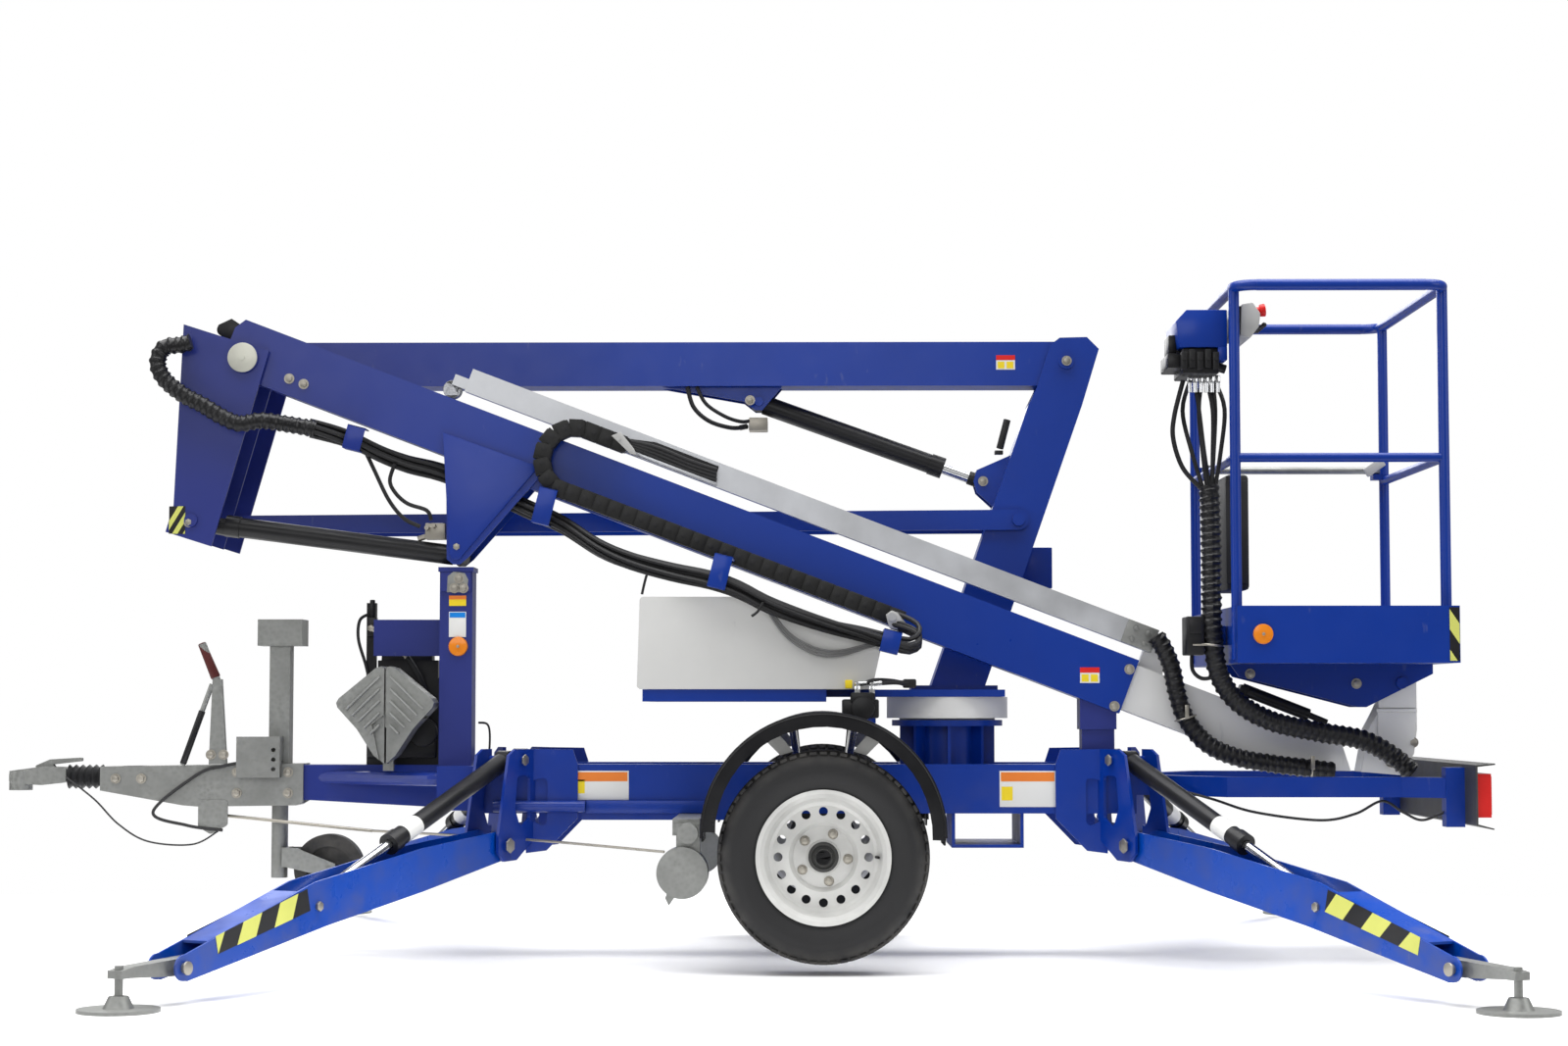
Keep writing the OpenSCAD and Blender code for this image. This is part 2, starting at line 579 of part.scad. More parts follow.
module tie_link() color(blue) difference() {
  for (s = [-1, 1]) upright(post_y + s * tie_y - 6, 12) hull() {
    translate(tie_pin) circle(r = tie_h / 2 + 4);
    translate(foot_pin) circle(r = tie_h / 2);
  }
  cross_bar(tie_pin, 20, -300, 400);
  cross_bar(foot_pin, 20, -300, 400);
}

knuckle_y = [-212, 228];
web_y = -30;
knuckle_side = [[-1406, 1869], [-1578, 1263], [-1720, 1308], [-1696, 1390], [-1672, 1953], [-1521, 1905]];

module knuckle() color(deep_blue) {
  for (y = [knuckle_y[0], web_y, knuckle_y[1] - plate]) upright(y, plate) polygon(knuckle_side);
  upright(knuckle_y[0], knuckle_y[1] - knuckle_y[0])
    polygon([[-1720, 1308], [-1696, 1390], [-1672, 1953], [-1662, 1950], [-1686, 1390], [-1710, 1305]]);
  cross_bar(top_pin, pin_r - fit, knuckle_y[0] - 8, knuckle_y[1] + 8);
  color(silver) cross_bar(top_pin, 48, knuckle_y[0] - 8, knuckle_y[0]);
  cross_bar(foot_pin, 20 - fit, web_y, knuckle_y[1] + 8);
  cross_bar(foot_pin, 20, knuckle_y[0] - 8, knuckle_y[0]);
}

// Booms that lie along the slope: X along the boom, Z across it, from the upper boom's pin
module on_slope() translate([top_pin[0], 0, top_pin[1]]) rotate([0, upper_tilt, 0]) children();
upper_top = 115;
upper_bottom = -59;
wall = 8;
luff_local = [841, -332];

luff_pin_r = 15;
mouth_t = 60;                        // collar at the outer section's mouth
mouth_gap = 0.3;
inner_n = [-44, 100];
inner_w = 100;

module upper_boom() color(blue) on_slope() {
  difference() {
    union() {
      upright(upper_y - upper_w / 2, upper_w)
        polygon([[-62, -20], [-40, upper_bottom + 4], [0, upper_bottom], [upper_len, upper_bottom],
          [upper_len, upper_top], [-40, upper_top], [-62, 80]]);
      for (y = [upper_y - upper_w / 2 - 8, upper_y + upper_w / 2]) upright(y, 8)
        polygon([[672, 8], [998, -4], [luff_local[0] + 36, luff_local[1] + 4], [luff_local[0] + 20, luff_local[1] - 24],
          [luff_local[0], luff_local[1] - 32], [luff_local[0] - 24, luff_local[1] - 24], [luff_local[0] - 34, luff_local[1]]]);
    }
    // Hollow from behind the pin to the mouth
    upright(upper_y - upper_w / 2 + wall, upper_w - 2 * wall)
      polygon([[100, upper_bottom + wall], [upper_len - mouth_t, upper_bottom + wall],
        [upper_len - mouth_t, upper_top - wall], [100, upper_top - wall]]);
    upright(upper_y - inner_w / 2 - mouth_gap, inner_w + 2 * mouth_gap)
      polygon([[upper_len - 90, inner_n[0] - mouth_gap], [upper_len + 10, inner_n[0] - mouth_gap],
        [upper_len + 10, inner_n[1] + mouth_gap], [upper_len - 90, inner_n[1] + mouth_gap]]);
    cross_bar([0, 0], pin_r, -300, 300);
    cross_bar(luff_local, luff_pin_r, -300, 300);
  }
  cross_bar(luff_local, luff_pin_r - fit, upper_y - upper_w / 2 - 14, upper_y + upper_w / 2 + 14);
}

inner_start = 500;

module inner_boom() color(white) {
  on_slope() {
    upright(upper_y - inner_w / 2, inner_w) difference() {
      polygon([[inner_start, inner_n[0]], [3436, inner_n[0]], [3646, 30], [3590, inner_n[1]], [inner_start, inner_n[1]]]);
      polygon([[inner_start - 5, inner_n[0] + 6], [3380, inner_n[0] + 6], [3540, 20], [3540, inner_n[1] - 6], [inner_start - 5, inner_n[1] - 6]]);
    }
    for (y = [upper_y - inner_w / 2, upper_y + inner_w / 2 - 6]) upright(y, 6)
      polygon([[inner_start + 60, inner_n[0] + 3], [3430, inner_n[0] + 3], [3600, 30], [3570, inner_n[1] - 3], [inner_start + 60, inner_n[1] - 3]]);
    // Slide pads at the back end
    difference() {
      upright(upper_y - upper_w / 2 + wall + 0.3, upper_w - 2 * wall - 0.6)
        polygon([[inner_start, upper_bottom + wall + 0.3], [inner_start + 50, upper_bottom + wall + 0.3],
          [inner_start + 50, upper_top - wall - 0.3], [inner_start, upper_top - wall - 0.3]]);
      upright(upper_y - inner_w / 2 + 5, inner_w - 10)
        polygon([[inner_start - 5, inner_n[0] + 5], [inner_start + 60, inner_n[0] + 5],
          [inner_start + 60, inner_n[1] - 5], [inner_start - 5, inner_n[1] - 5]]);
    }
    // Bracket that carries the chain rail
    upright(chain_rail_y[1], 50) polygon([[upper_len + 8, inner_n[1] - 4], [upper_len + 90, inner_n[1] - 4],
      [upper_len + 60, 210], [upper_len + 8, 210]]);
  }
  // Folded end bracket up to the cage's pin
  for (y = [upper_y - inner_w / 2 - 8, upper_y + inner_w / 2]) difference() {
    upright(y, 8) polygon([[1960, 570], [1985, 700], [2012, 750], [2036, 800], [2040, 850], [2054, 878], [2084, 890],
      [2114, 878], [2132, 850], [2132, 700], [2122, 625], [2080, 560]]);
    cross_bar(cage_pin, 18, -400, 400);
  }
  upright(upper_y - inner_w / 2, inner_w) polygon([[2132, 800], [2132, 700], [2122, 625], [2080, 560], [2073, 566],
    [2113, 627], [2123, 701], [2123, 800]]);
}

rail_n = [150, 224];
rail_t = [676, 2946];
chain_rail_y = [-190, -140];

module chain_rail() color(silver) on_slope() {
  difference() {
    upright(chain_rail_y[0], chain_rail_y[1] - chain_rail_y[0])
      polygon([[rail_t[0], rail_n[0]], [rail_t[1], rail_n[0]], [rail_t[1], rail_n[1]], [rail_t[0], rail_n[1]]]);
    upright(chain_rail_y[0] + 4, chain_rail_y[1] - chain_rail_y[0])
      polygon([[rail_t[0] - 5, rail_n[0] + 4], [rail_t[1] - 22, rail_n[0] + 4], [rail_t[1] - 22, rail_n[1] - 4], [rail_t[0] - 5, rail_n[1] - 4]]);
  }
  // Roller on the boom at the front end
  block([rail_t[0] - 46, chain_rail_y[0] + 8, rail_n[0] + 6], [rail_t[0] + 10, chain_rail_y[0] + 16, rail_n[0] + 40]);
  cross_bar([rail_t[0] - 40, upper_top + 27.3], 27, chain_rail_y[0] + 16, chain_rail_y[1]);
}

chain_w = 50;
chain_y = upper_y - upper_w / 2 - 8.3 - chain_w;
chain_h = 58;
chain_low = -30;
chain_high = 168;
chain_x = 1078;

module energy_chain() color(black) on_slope() {
  upright(chain_y, chain_w) difference() {
    union() {
      translate([chain_x, (chain_low + chain_high) / 2]) circle(r = (chain_high - chain_low + chain_h) / 2);
      translate([chain_x, chain_low - chain_h / 2]) square([2200 - chain_x, chain_h]);
      translate([chain_x, chain_high - chain_h / 2]) square([130, chain_h]);
    }
    translate([chain_x, (chain_low + chain_high) / 2]) circle(r = (chain_high - chain_low - chain_h) / 2);
    translate([chain_x, chain_low + chain_h / 2]) square([400, chain_high - chain_low - chain_h]);
  }
  // Seat of the fixed end on the boom
  block([2140, chain_y + chain_w, chain_low - 20], [2200, upper_y - upper_w / 2, chain_low + 20]);
  block([1300, chain_y + chain_w, chain_low - 10], [1340, upper_y - upper_w / 2, chain_low + 10]);
}

// Cylinders of the booms, X along the cylinder from its barrel's pin

module barrel(len, r, eye_r, eye_w, pin, bore, bore_from) difference() {
  union() {
    cross_bar([0, 0], eye_r, -eye_w, eye_w);
    rotate([0, 90, 0]) translate([0, 0, eye_r * 0.7]) cylinder(r = r, h = len - eye_r * 0.7);
    rotate([0, 90, 0]) translate([0, 0, len - 45]) cylinder(r = r + 3, h = 45);
  }
  cross_bar([0, 0], pin, -80, 80);
  rotate([0, 90, 0]) translate([0, 0, bore_from]) cylinder(r = bore, h = len);
}

module rod(from, to, r, eye_r, eye_w) {
  rotate([0, 90, 0]) translate([0, 0, from]) cylinder(r = r, h = to - from - eye_r * 0.6);
  cross_bar([to, 0], eye_r, -eye_w, eye_w);
}

lift_len = norm(lift_eye - lift_pin);
luff_len = norm(foot_pin - luff_pin);

module lift_barrel() color(black) translate([0, post_y, 0]) along(lift_pin, lift_eye) barrel(625, 31, 28, 28, 15.3, 18.5, 40);
module lift_rod() color(silver) translate([0, post_y, 0]) along(lift_pin, lift_eye) rod(70, lift_len, 18, 24, 26);
module luff_barrel() color(black) translate([0, upper_y, 0]) along(luff_pin, foot_pin) barrel(735, 31, 28, 50, 15.3, 18.5, 60);
module luff_rod() color(silver) translate([0, upper_y, 0]) along(luff_pin, foot_pin) rod(120, luff_len, 18, 26, 40);

// Cage

cage_x = 1857;
tray_x = [1535, 2192];
tray_z = [899, 1068];
tube = cage_tube / 2;
mid_z = 1514;

bend_r = 60;                         // of the top rail's corners
post_in = 55;                        // posts inside the top rail's sides
gate_z = 1546;
gate_y = cage_w / 2 - post_in - tube - 15;
gate_x = cage_x - cage_l / 2 + 37;

module cage_frame() color(blue) {
  x = [cage_x - cage_l / 2, cage_x + cage_l / 2];
  y = [-cage_w / 2, cage_w / 2];
  py = [y[0] + post_in, y[1] - post_in];
  for (e = y) bar([x[0] + bend_r, e, cage_top], [x[1] - bend_r, e, cage_top], tube);
  for (e = x) bar([e, y[0] + bend_r, cage_top], [e, y[1] - bend_r, cage_top], tube);
  for (k = [0 : 3]) translate([k == 1 || k == 2 ? x[0] + bend_r : x[1] - bend_r, k > 1 ? y[0] + bend_r : y[1] - bend_r, cage_top])
    rotate([0, 0, 90 * k - 2]) rotate_extrude(angle = 94) translate([bend_r, 0]) circle(r = tube - 0.6);
  // Posts stand on the tray's floor, inside its boards
  for (px = x, q = py) bar([px, q, tray_z[0] + 10.3], [px, q, cage_top], tube - 1);
  bar([x[0], py[0], mid_z], [x[1], py[0], mid_z], tube - 3);
  for (px = x) bar([px, py[0], mid_z], [px, py[1], mid_z], tube - 3);
  // Pivot and seat of the gate bar
  block([x[0], gate_y + 14, gate_z - 12], [gate_x + 14, gate_y + 24, gate_z + 12]);
  cross_bar([gate_x, gate_z], 8 - fit / 2, gate_y - 20, gate_y + 20);
  block([x[1] - 44, gate_y - 12, gate_z - 30], [x[1], gate_y + 40, gate_z - 12.3]);
}

board_t = 4;

module cage_tray() color(blue) {
  y = cage_w / 2 + tube + 1;
  difference() {
    block([tray_x[0], -y - board_t, tray_z[0]], [tray_x[1], y + board_t, tray_z[1]]);
    block([tray_x[0] + board_t, -y, tray_z[0] + 10], [tray_x[1] - board_t, y, tray_z[1] + 5]);
    // Seats of the two front posts
    for (q = [-1, 1]) translate([cage_x - cage_l / 2, q * (cage_w / 2 - post_in), tray_z[0] + 10]) cylinder(r = tube - 0.7, h = 300);
    // Way in on the far side
    block([tray_x[0] + 60, y - 30, tray_z[0] + 10], [tray_x[1] - 60, y + 20, tray_z[1] + 5]);
  }
  // Side plates under the floor, on the cage's pin
  for (py = [upper_y - 75, upper_y + 67]) difference() {
    upright(py, 8) polygon([[1560, tray_z[0]], [1586, 862], [1950, 768], [1975, 768], [2180, 870], [2180, tray_z[0]]]);
    cross_bar(cage_pin, 18, -400, 400);
  }
  cross_bar(cage_pin, 18 - fit, upper_y - 84, upper_y + 84);
}

module console() color(blue) {
  x = cage_x - cage_l / 2;
  block([x - 171, -430, 1850], [x - tube - 0.3, -180, 1963]);
  color(black) block([x - 195, -420, 1774], [x - 40, -200, 1849.7]);
  color(white) block([x + tube + 0.3, -430, 1880], [x + 85, -180, 1986]);
  block([x - tube - 0.3, -330, 1920], [x + tube + 0.3, -300, 1960]);
  color(black) block([x + tube + 0.3, -440, 1130], [x + 70, -200, 1470]);
  color(black) block([x - 142, -330, 927], [x - 100, -240, 1042]);
  block([x - 110, -290, 960], [tray_x[0], -245, 1010]);
}

module gate_bar() color(zinc) difference() {
  union() {
    bar([gate_x, gate_y, gate_z], [cage_x + cage_l / 2 - tube - 4, gate_y, gate_z], 12);
    cross_bar([gate_x, gate_z], 18, gate_y - 11, gate_y + 11);
  }
  cross_bar([gate_x, gate_z], 8, gate_y - 60, gate_y + 60);
}

// Hoses, each as [x, y, z] points along its route

boom_hose = [[-1640, -242, 1905], [-1775, -250, 1850], [-1770, -250, 1790], [-1700, -250, 1730], [-1590, -250, 1665],
  [-1500, -250, 1625], [-1400, -250, 1615], [-1260, -250, 1600], [-1150, -250, 1560], [-1020, -250, 1500],
  [-880, -250, 1440], [-700, -252, 1385], [-560, -262, 1330], [-420, -278, 1250], [-250, -280, 1195], [-50, -280, 1160],
  [150, -280, 1135], [330, -280, 1095], [480, -280, 1045], [560, -284, 1018]];
tail_hose = [[1345, -222, 960], [1390, -222, 900], [1405, -222, 815], [1450, -222, 715], [1520, -222, 655],
  [1620, -222, 605], [1780, -222, 575], [1860, -222, 560]];
cage_hose = [[1440, -330, 1740], [1455, -330, 1500], [1470, -330, 1250], [1480, -330, 1000], [1500, -330, 900],
  [1550, -320, 820], [1640, -300, 745], [1760, -280, 705], [1880, -262, 680], [1980, -255, 640], [2060, -250, 585]];

module boom_hoses() color(black) sweep(spline(boom_hose, 2), 22, 8);
module tail_hoses() color(black) sweep(spline(tail_hose, 2), 26, 8);
module cage_hoses() color(black) sweep(spline(cage_hose, 2), 28, 8);

chassis_frame();
drawbar_tubes();
outrigger_brackets();
drawbar_housing();
coupling_head();
drawbar_bellows();
jack_sleeve();
jack_leg();
jockey_wheel();
boom_post();
engine_pack();
wheel_chocks();
axle();
tyre(-1);  // tyre_left
tyre(1);  // tyre_right
rim(-1);  // rim_left
rim(1);  // rim_right
mudguards();
traction_drives();
boom_rest();
light_board();
tail_lamps();
slew_ring();
turntable();
power_cover();
king_post();
lower_boom();
tie_link();
knuckle();
upper_boom();
inner_boom();
chain_rail();
energy_chain();
lift_barrel();
lift_rod();
luff_barrel();
luff_rod();
cage_frame();
cage_tray();
console();
gate_bar();
boom_hoses();
tail_hoses();
cage_hoses();
leg(corners[0]);  // leg_front_left
leg(corners[1]);  // leg_front_right
leg(corners[2]);  // leg_rear_left
leg(corners[3]);  // leg_rear_right
foot(corners[0]);  // foot_front_left
foot(corners[1]);  // foot_front_right
foot(corners[2]);  // foot_rear_left
foot(corners[3]);  // foot_rear_right
leg_barrel(corners[0]);  // barrel_front_left
leg_barrel(corners[1]);  // barrel_front_right
leg_barrel(corners[2]);  // barrel_rear_left
leg_barrel(corners[3]);  // barrel_rear_right
leg_rod(corners[0]);  // rod_front_left
leg_rod(corners[1]);  // rod_front_right
leg_rod(corners[2]);  // rod_rear_left
leg_rod(corners[3]);  // rod_rear_right
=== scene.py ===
"""Towable boom lift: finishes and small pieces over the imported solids, with a plain studio."""

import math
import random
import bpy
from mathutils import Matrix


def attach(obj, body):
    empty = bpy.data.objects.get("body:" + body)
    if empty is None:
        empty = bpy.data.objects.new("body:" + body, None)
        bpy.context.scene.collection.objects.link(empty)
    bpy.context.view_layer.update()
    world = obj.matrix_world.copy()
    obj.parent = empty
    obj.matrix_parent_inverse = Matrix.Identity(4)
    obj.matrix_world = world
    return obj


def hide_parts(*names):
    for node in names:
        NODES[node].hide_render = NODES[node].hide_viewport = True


bl_info = {
    "name": "Towable Boom Lift",
    "version": (1, 0, 0),
    "blender": (4, 5, 0),
    "location": "View3D > Sidebar > Boom Lift",
    "description": "Dresses the packed towable boom lift and sets its studio",
    "category": "Object",
}

import bmesh
import bpy
from bpy.props import FloatProperty, FloatVectorProperty, IntProperty, PointerProperty
from mathutils import Matrix, Vector

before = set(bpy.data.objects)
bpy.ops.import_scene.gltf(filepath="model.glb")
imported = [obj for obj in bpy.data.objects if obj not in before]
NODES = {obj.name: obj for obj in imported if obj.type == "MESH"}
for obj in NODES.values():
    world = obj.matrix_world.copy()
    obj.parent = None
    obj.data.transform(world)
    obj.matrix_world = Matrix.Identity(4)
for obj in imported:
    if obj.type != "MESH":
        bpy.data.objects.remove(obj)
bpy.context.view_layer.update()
CORNERS = ("front_left", "front_right", "rear_left", "rear_right")

# Places taken from the solids, in metres
LIFT_TOP = Vector((-1.486, 0, 1.848))       # pin of the upper boom on the knuckle
SLOPE = math.radians(20.95)                 # fall of the stowed upper boom
BOOM_NEAR = -0.195                          # near face of the upper boom
CHAIN_NEAR = -0.2533                        # near face of the energy chain
WHEEL = Vector((0.31, 0.68, 0.337))
OVER_COVER = -0.402                         # the boom's hoses pass in front of the power cover here
CAGE_HOSE = -0.33                           # middle of the hoses that hang below the console
SHARP = 0.6                                 # edges that turn by more than this, in radians, are rounded
CREASE = math.radians(32)                   # shading breaks at edges that turn by more than this


def colour(name, description, value):
    """A colour that the user may change, in linear values."""
    return FloatVectorProperty(name=name, description=description, default=value, subtype="COLOR", min=0, max=1)


def length(name, description, value):
    """A length that the user may change, in metres."""
    return FloatProperty(name=name, description=description, default=value, min=0, unit="LENGTH", subtype="DISTANCE",
                         precision=4)


class LiftFinish(bpy.types.PropertyGroup):
    """Colours of the machine's finishes."""
    blue: colour("Blue enamel", "Colour of the chassis and booms", (0.0, 0.030, 0.27))
    violet: colour("Faded enamel", "Colour that the sun has left on the knuckle", (0.016, 0.027, 0.185))
    leg_blue: colour("Leg enamel", "Brighter colour of the outrigger legs", (0.0, 0.052, 0.37))
    white: colour("White enamel", "Colour of the inner boom and ring guard", (0.72, 0.72, 0.71))
    zinc: colour("Galvanised steel", "Colour of the dipped steel pieces", (0.25, 0.255, 0.245))
    hazard: colour("Hazard yellow", "Light stripes of the hazard films", (0.56, 0.58, 0.13))
    orange: colour("Reflector orange", "Side reflectors", (0.72, 0.20, 0.004))


class LiftSizes(bpy.types.PropertyGroup):
    """Sizes of the pieces that are added to the solids."""
    link_pitch: length("Chain pitch", "Length of one link of the energy chain", 0.046)
    bolt: length("Bolt head", "Radius of a usual bolt head", 0.011)
    wrap_pitch: length("Wrap pitch", "Pitch of the spiral wrap round the hoses", 0.022)
    tread_blocks: IntProperty(name="Tread blocks", description="Blocks round the tyre", default=64, min=20, max=90)
    floor: length("Floor size", "Half the side of the studio floor", 14.0)


# Shader maths

class Wire:
    """A socket on which Python's operators add Math nodes."""

    def __init__(self, finish, out):
        self.finish, self.out = finish, out

    def _math(self, operation, *others):
        values = {i: getattr(o, "out", o) for i, o in enumerate(others, 1)}
        values[0] = self.out
        return self.finish.node("ShaderNodeMath", values, operation=operation)

    def __add__(self, other):
        return self._math("ADD", other)

    def __sub__(self, other):
        return self._math("SUBTRACT", other)

    def __mul__(self, other):
        return self._math("MULTIPLY", other)

    def __pow__(self, other):
        return self._math("POWER", other)

    def __rsub__(self, other):
        return self * -1.0 + other

    __radd__, __rmul__ = __add__, __mul__

    def clamp(self):
        return self.finish.node("ShaderNodeClamp", {0: self.out})

    def band(self, low, high):
        """0 below low, 1 above high."""
        return ((self - low) * (1.0 / (high - low))).clamp()


class Nodes:
    """A node tree and the one method that adds its nodes."""

    def __init__(self, tree):
        self.tree = tree
        tree.nodes.clear()

    def node(self, kind, values=None, out=0, **settings):
        made = self.tree.nodes.new(kind)
        for key, value in settings.items():
            setattr(made, key, value)
        for key, value in (values or {}).items():
            value = getattr(value, "out", value)
            if isinstance(value, bpy.types.NodeSocket):
                self.tree.links.new(value, made.inputs[key])
            else:
                made.inputs[key].default_value = value
        return Wire(self, made.outputs[out]) if made.outputs else None


class Finish(Nodes):
    """A material with one Principled shader, built node by node."""

    def __init__(self, name, **constants):
        self.material = bpy.data.materials.new(name)
        self.material.use_nodes = True
        super().__init__(self.material.node_tree)
        values = {key.replace("_", " "): value for key, value in constants.items()}
        surface = self.node("ShaderNodeBsdfPrincipled", values)
        self.shader = surface.out.node
        self.node("ShaderNodeOutputMaterial", {0: surface})

    def place(self, axis=None):
        where = self.node("ShaderNodeTexCoord", out="Object")
        if axis is None:
            return where
        return self.node("ShaderNodeSeparateXYZ", {0: where}, out=axis)

    def noise(self, scale, detail=4.0, stretch=None):
        where = self.place()
        if stretch:
            where = self.node("ShaderNodeMapping", {"Vector": where, "Scale": stretch})
        return self.node("ShaderNodeTexNoise", {"Vector": where, "Scale": scale, "Detail": detail})

    def mix(self, share, first, second):
        first, second = (c if isinstance(c, Wire) else (*c, 1) for c in (first, second))
        return self.node("ShaderNodeMix", {0: share, 6: first, 7: second}, out=2, data_type="RGBA")

    def feed(self, **wires):
        for key, wire in wires.items():
            self.tree.links.new(wire.out, self.shader.inputs[key.replace("_", " ")])
        return self

    def bump(self, height, strength, distance=0.002):
        self.feed(Normal=self.node("ShaderNodeBump", {"Height": height, "Strength": strength, "Distance": distance}))
        return self


def enamel(name, main, faded=None, roughness=0.3, grime=0.35):
    """Machine paint: clouds of fading, road dirt low down, fine orange peel."""
    made = Finish(name, Coat_Weight=0.12, Coat_Roughness=0.12, Specular_IOR_Level=0.3)
    base = made.mix(made.noise(2.3, 5.0).band(0.4, 0.75) * 0.35, main, [c * 0.62 for c in main])
    if faded:
        base = made.mix(1.0 - made.place("X").band(-1.5, -0.35), base, faded)
    scuffs = made.noise(38.0, 3.0, (1.0, 1.0, 0.35)).band(0.66, 0.72) * made.noise(3.1).band(0.52, 0.7)
    base = made.mix(scuffs * 0.35, base, (0.2, 0.21, 0.24))
    dirt = (1.0 - made.place("Z").band(0.05, 0.62)) * made.noise(9.0, 6.0).band(0.45, 0.75)
    base = made.mix(dirt * grime, base, (0.11, 0.10, 0.09))
    made.feed(Base_Color=base, Roughness=(made.noise(14.0) * 0.22 + (roughness - 0.08)) + dirt * 0.3)
    return made.bump(made.noise(420.0, 1.0), 0.05).material


def dipped(name, main):
    """Galvanised steel with its spangle and dull patches."""
    made = Finish(name, Metallic=0.75)
    cells = made.node("ShaderNodeTexVoronoi", {"Vector": made.place(), "Scale": 75.0}, out="Distance")
    dull = made.noise(6.0, 5.0).band(0.4, 0.7)
    base = made.mix(cells * 0.55, main, [min(1, c * 1.5) for c in main])
    base = made.mix(dull * 0.4, base, [c * 0.6 for c in main])
    made.feed(Base_Color=base, Roughness=cells * 0.2 + dull * 0.18 + 0.32)
    return made.bump(made.noise(60.0, 3.0), 0.12).material


def plain(name, main, roughness, metallic=0.0, grain=0.0, scale=120.0, vary=0.3, **more):
    """One colour with a little change over its surface."""
    made = Finish(name, Metallic=metallic, Specular_IOR_Level=0.28, **more)
    cloud = made.noise(7.0, 4.0).band(0.35, 0.7)
    base = made.mix(cloud * vary, main, [min(1, c * 1.9 + 0.012) for c in main])
    made.feed(Base_Color=base, Roughness=cloud * 0.14 + roughness)
    return made.bump(made.noise(scale, 2.0), grain).material if grain else made.material


def tyre_rubber():
    """Rubber with dry dust on the tread and shoulders."""
    made = Finish("tyre_rubber", Specular_IOR_Level=0.35)
    across = made.place("X") - WHEEL.x
    up = made.place("Z") - WHEEL.z
    radius = (across * across + up * up) ** 0.5
    dust = radius.band(0.262, 0.306) * made.noise(18.0, 6.0).band(0.3, 0.65)
    base = made.mix(dust * 0.6, (0.012, 0.012, 0.013), (0.10, 0.095, 0.088))
    made.feed(Base_Color=base, Roughness=dust * 0.25 + 0.55)
    return made.bump(made.noise(260.0, 2.0), 0.12).material


# Modelling

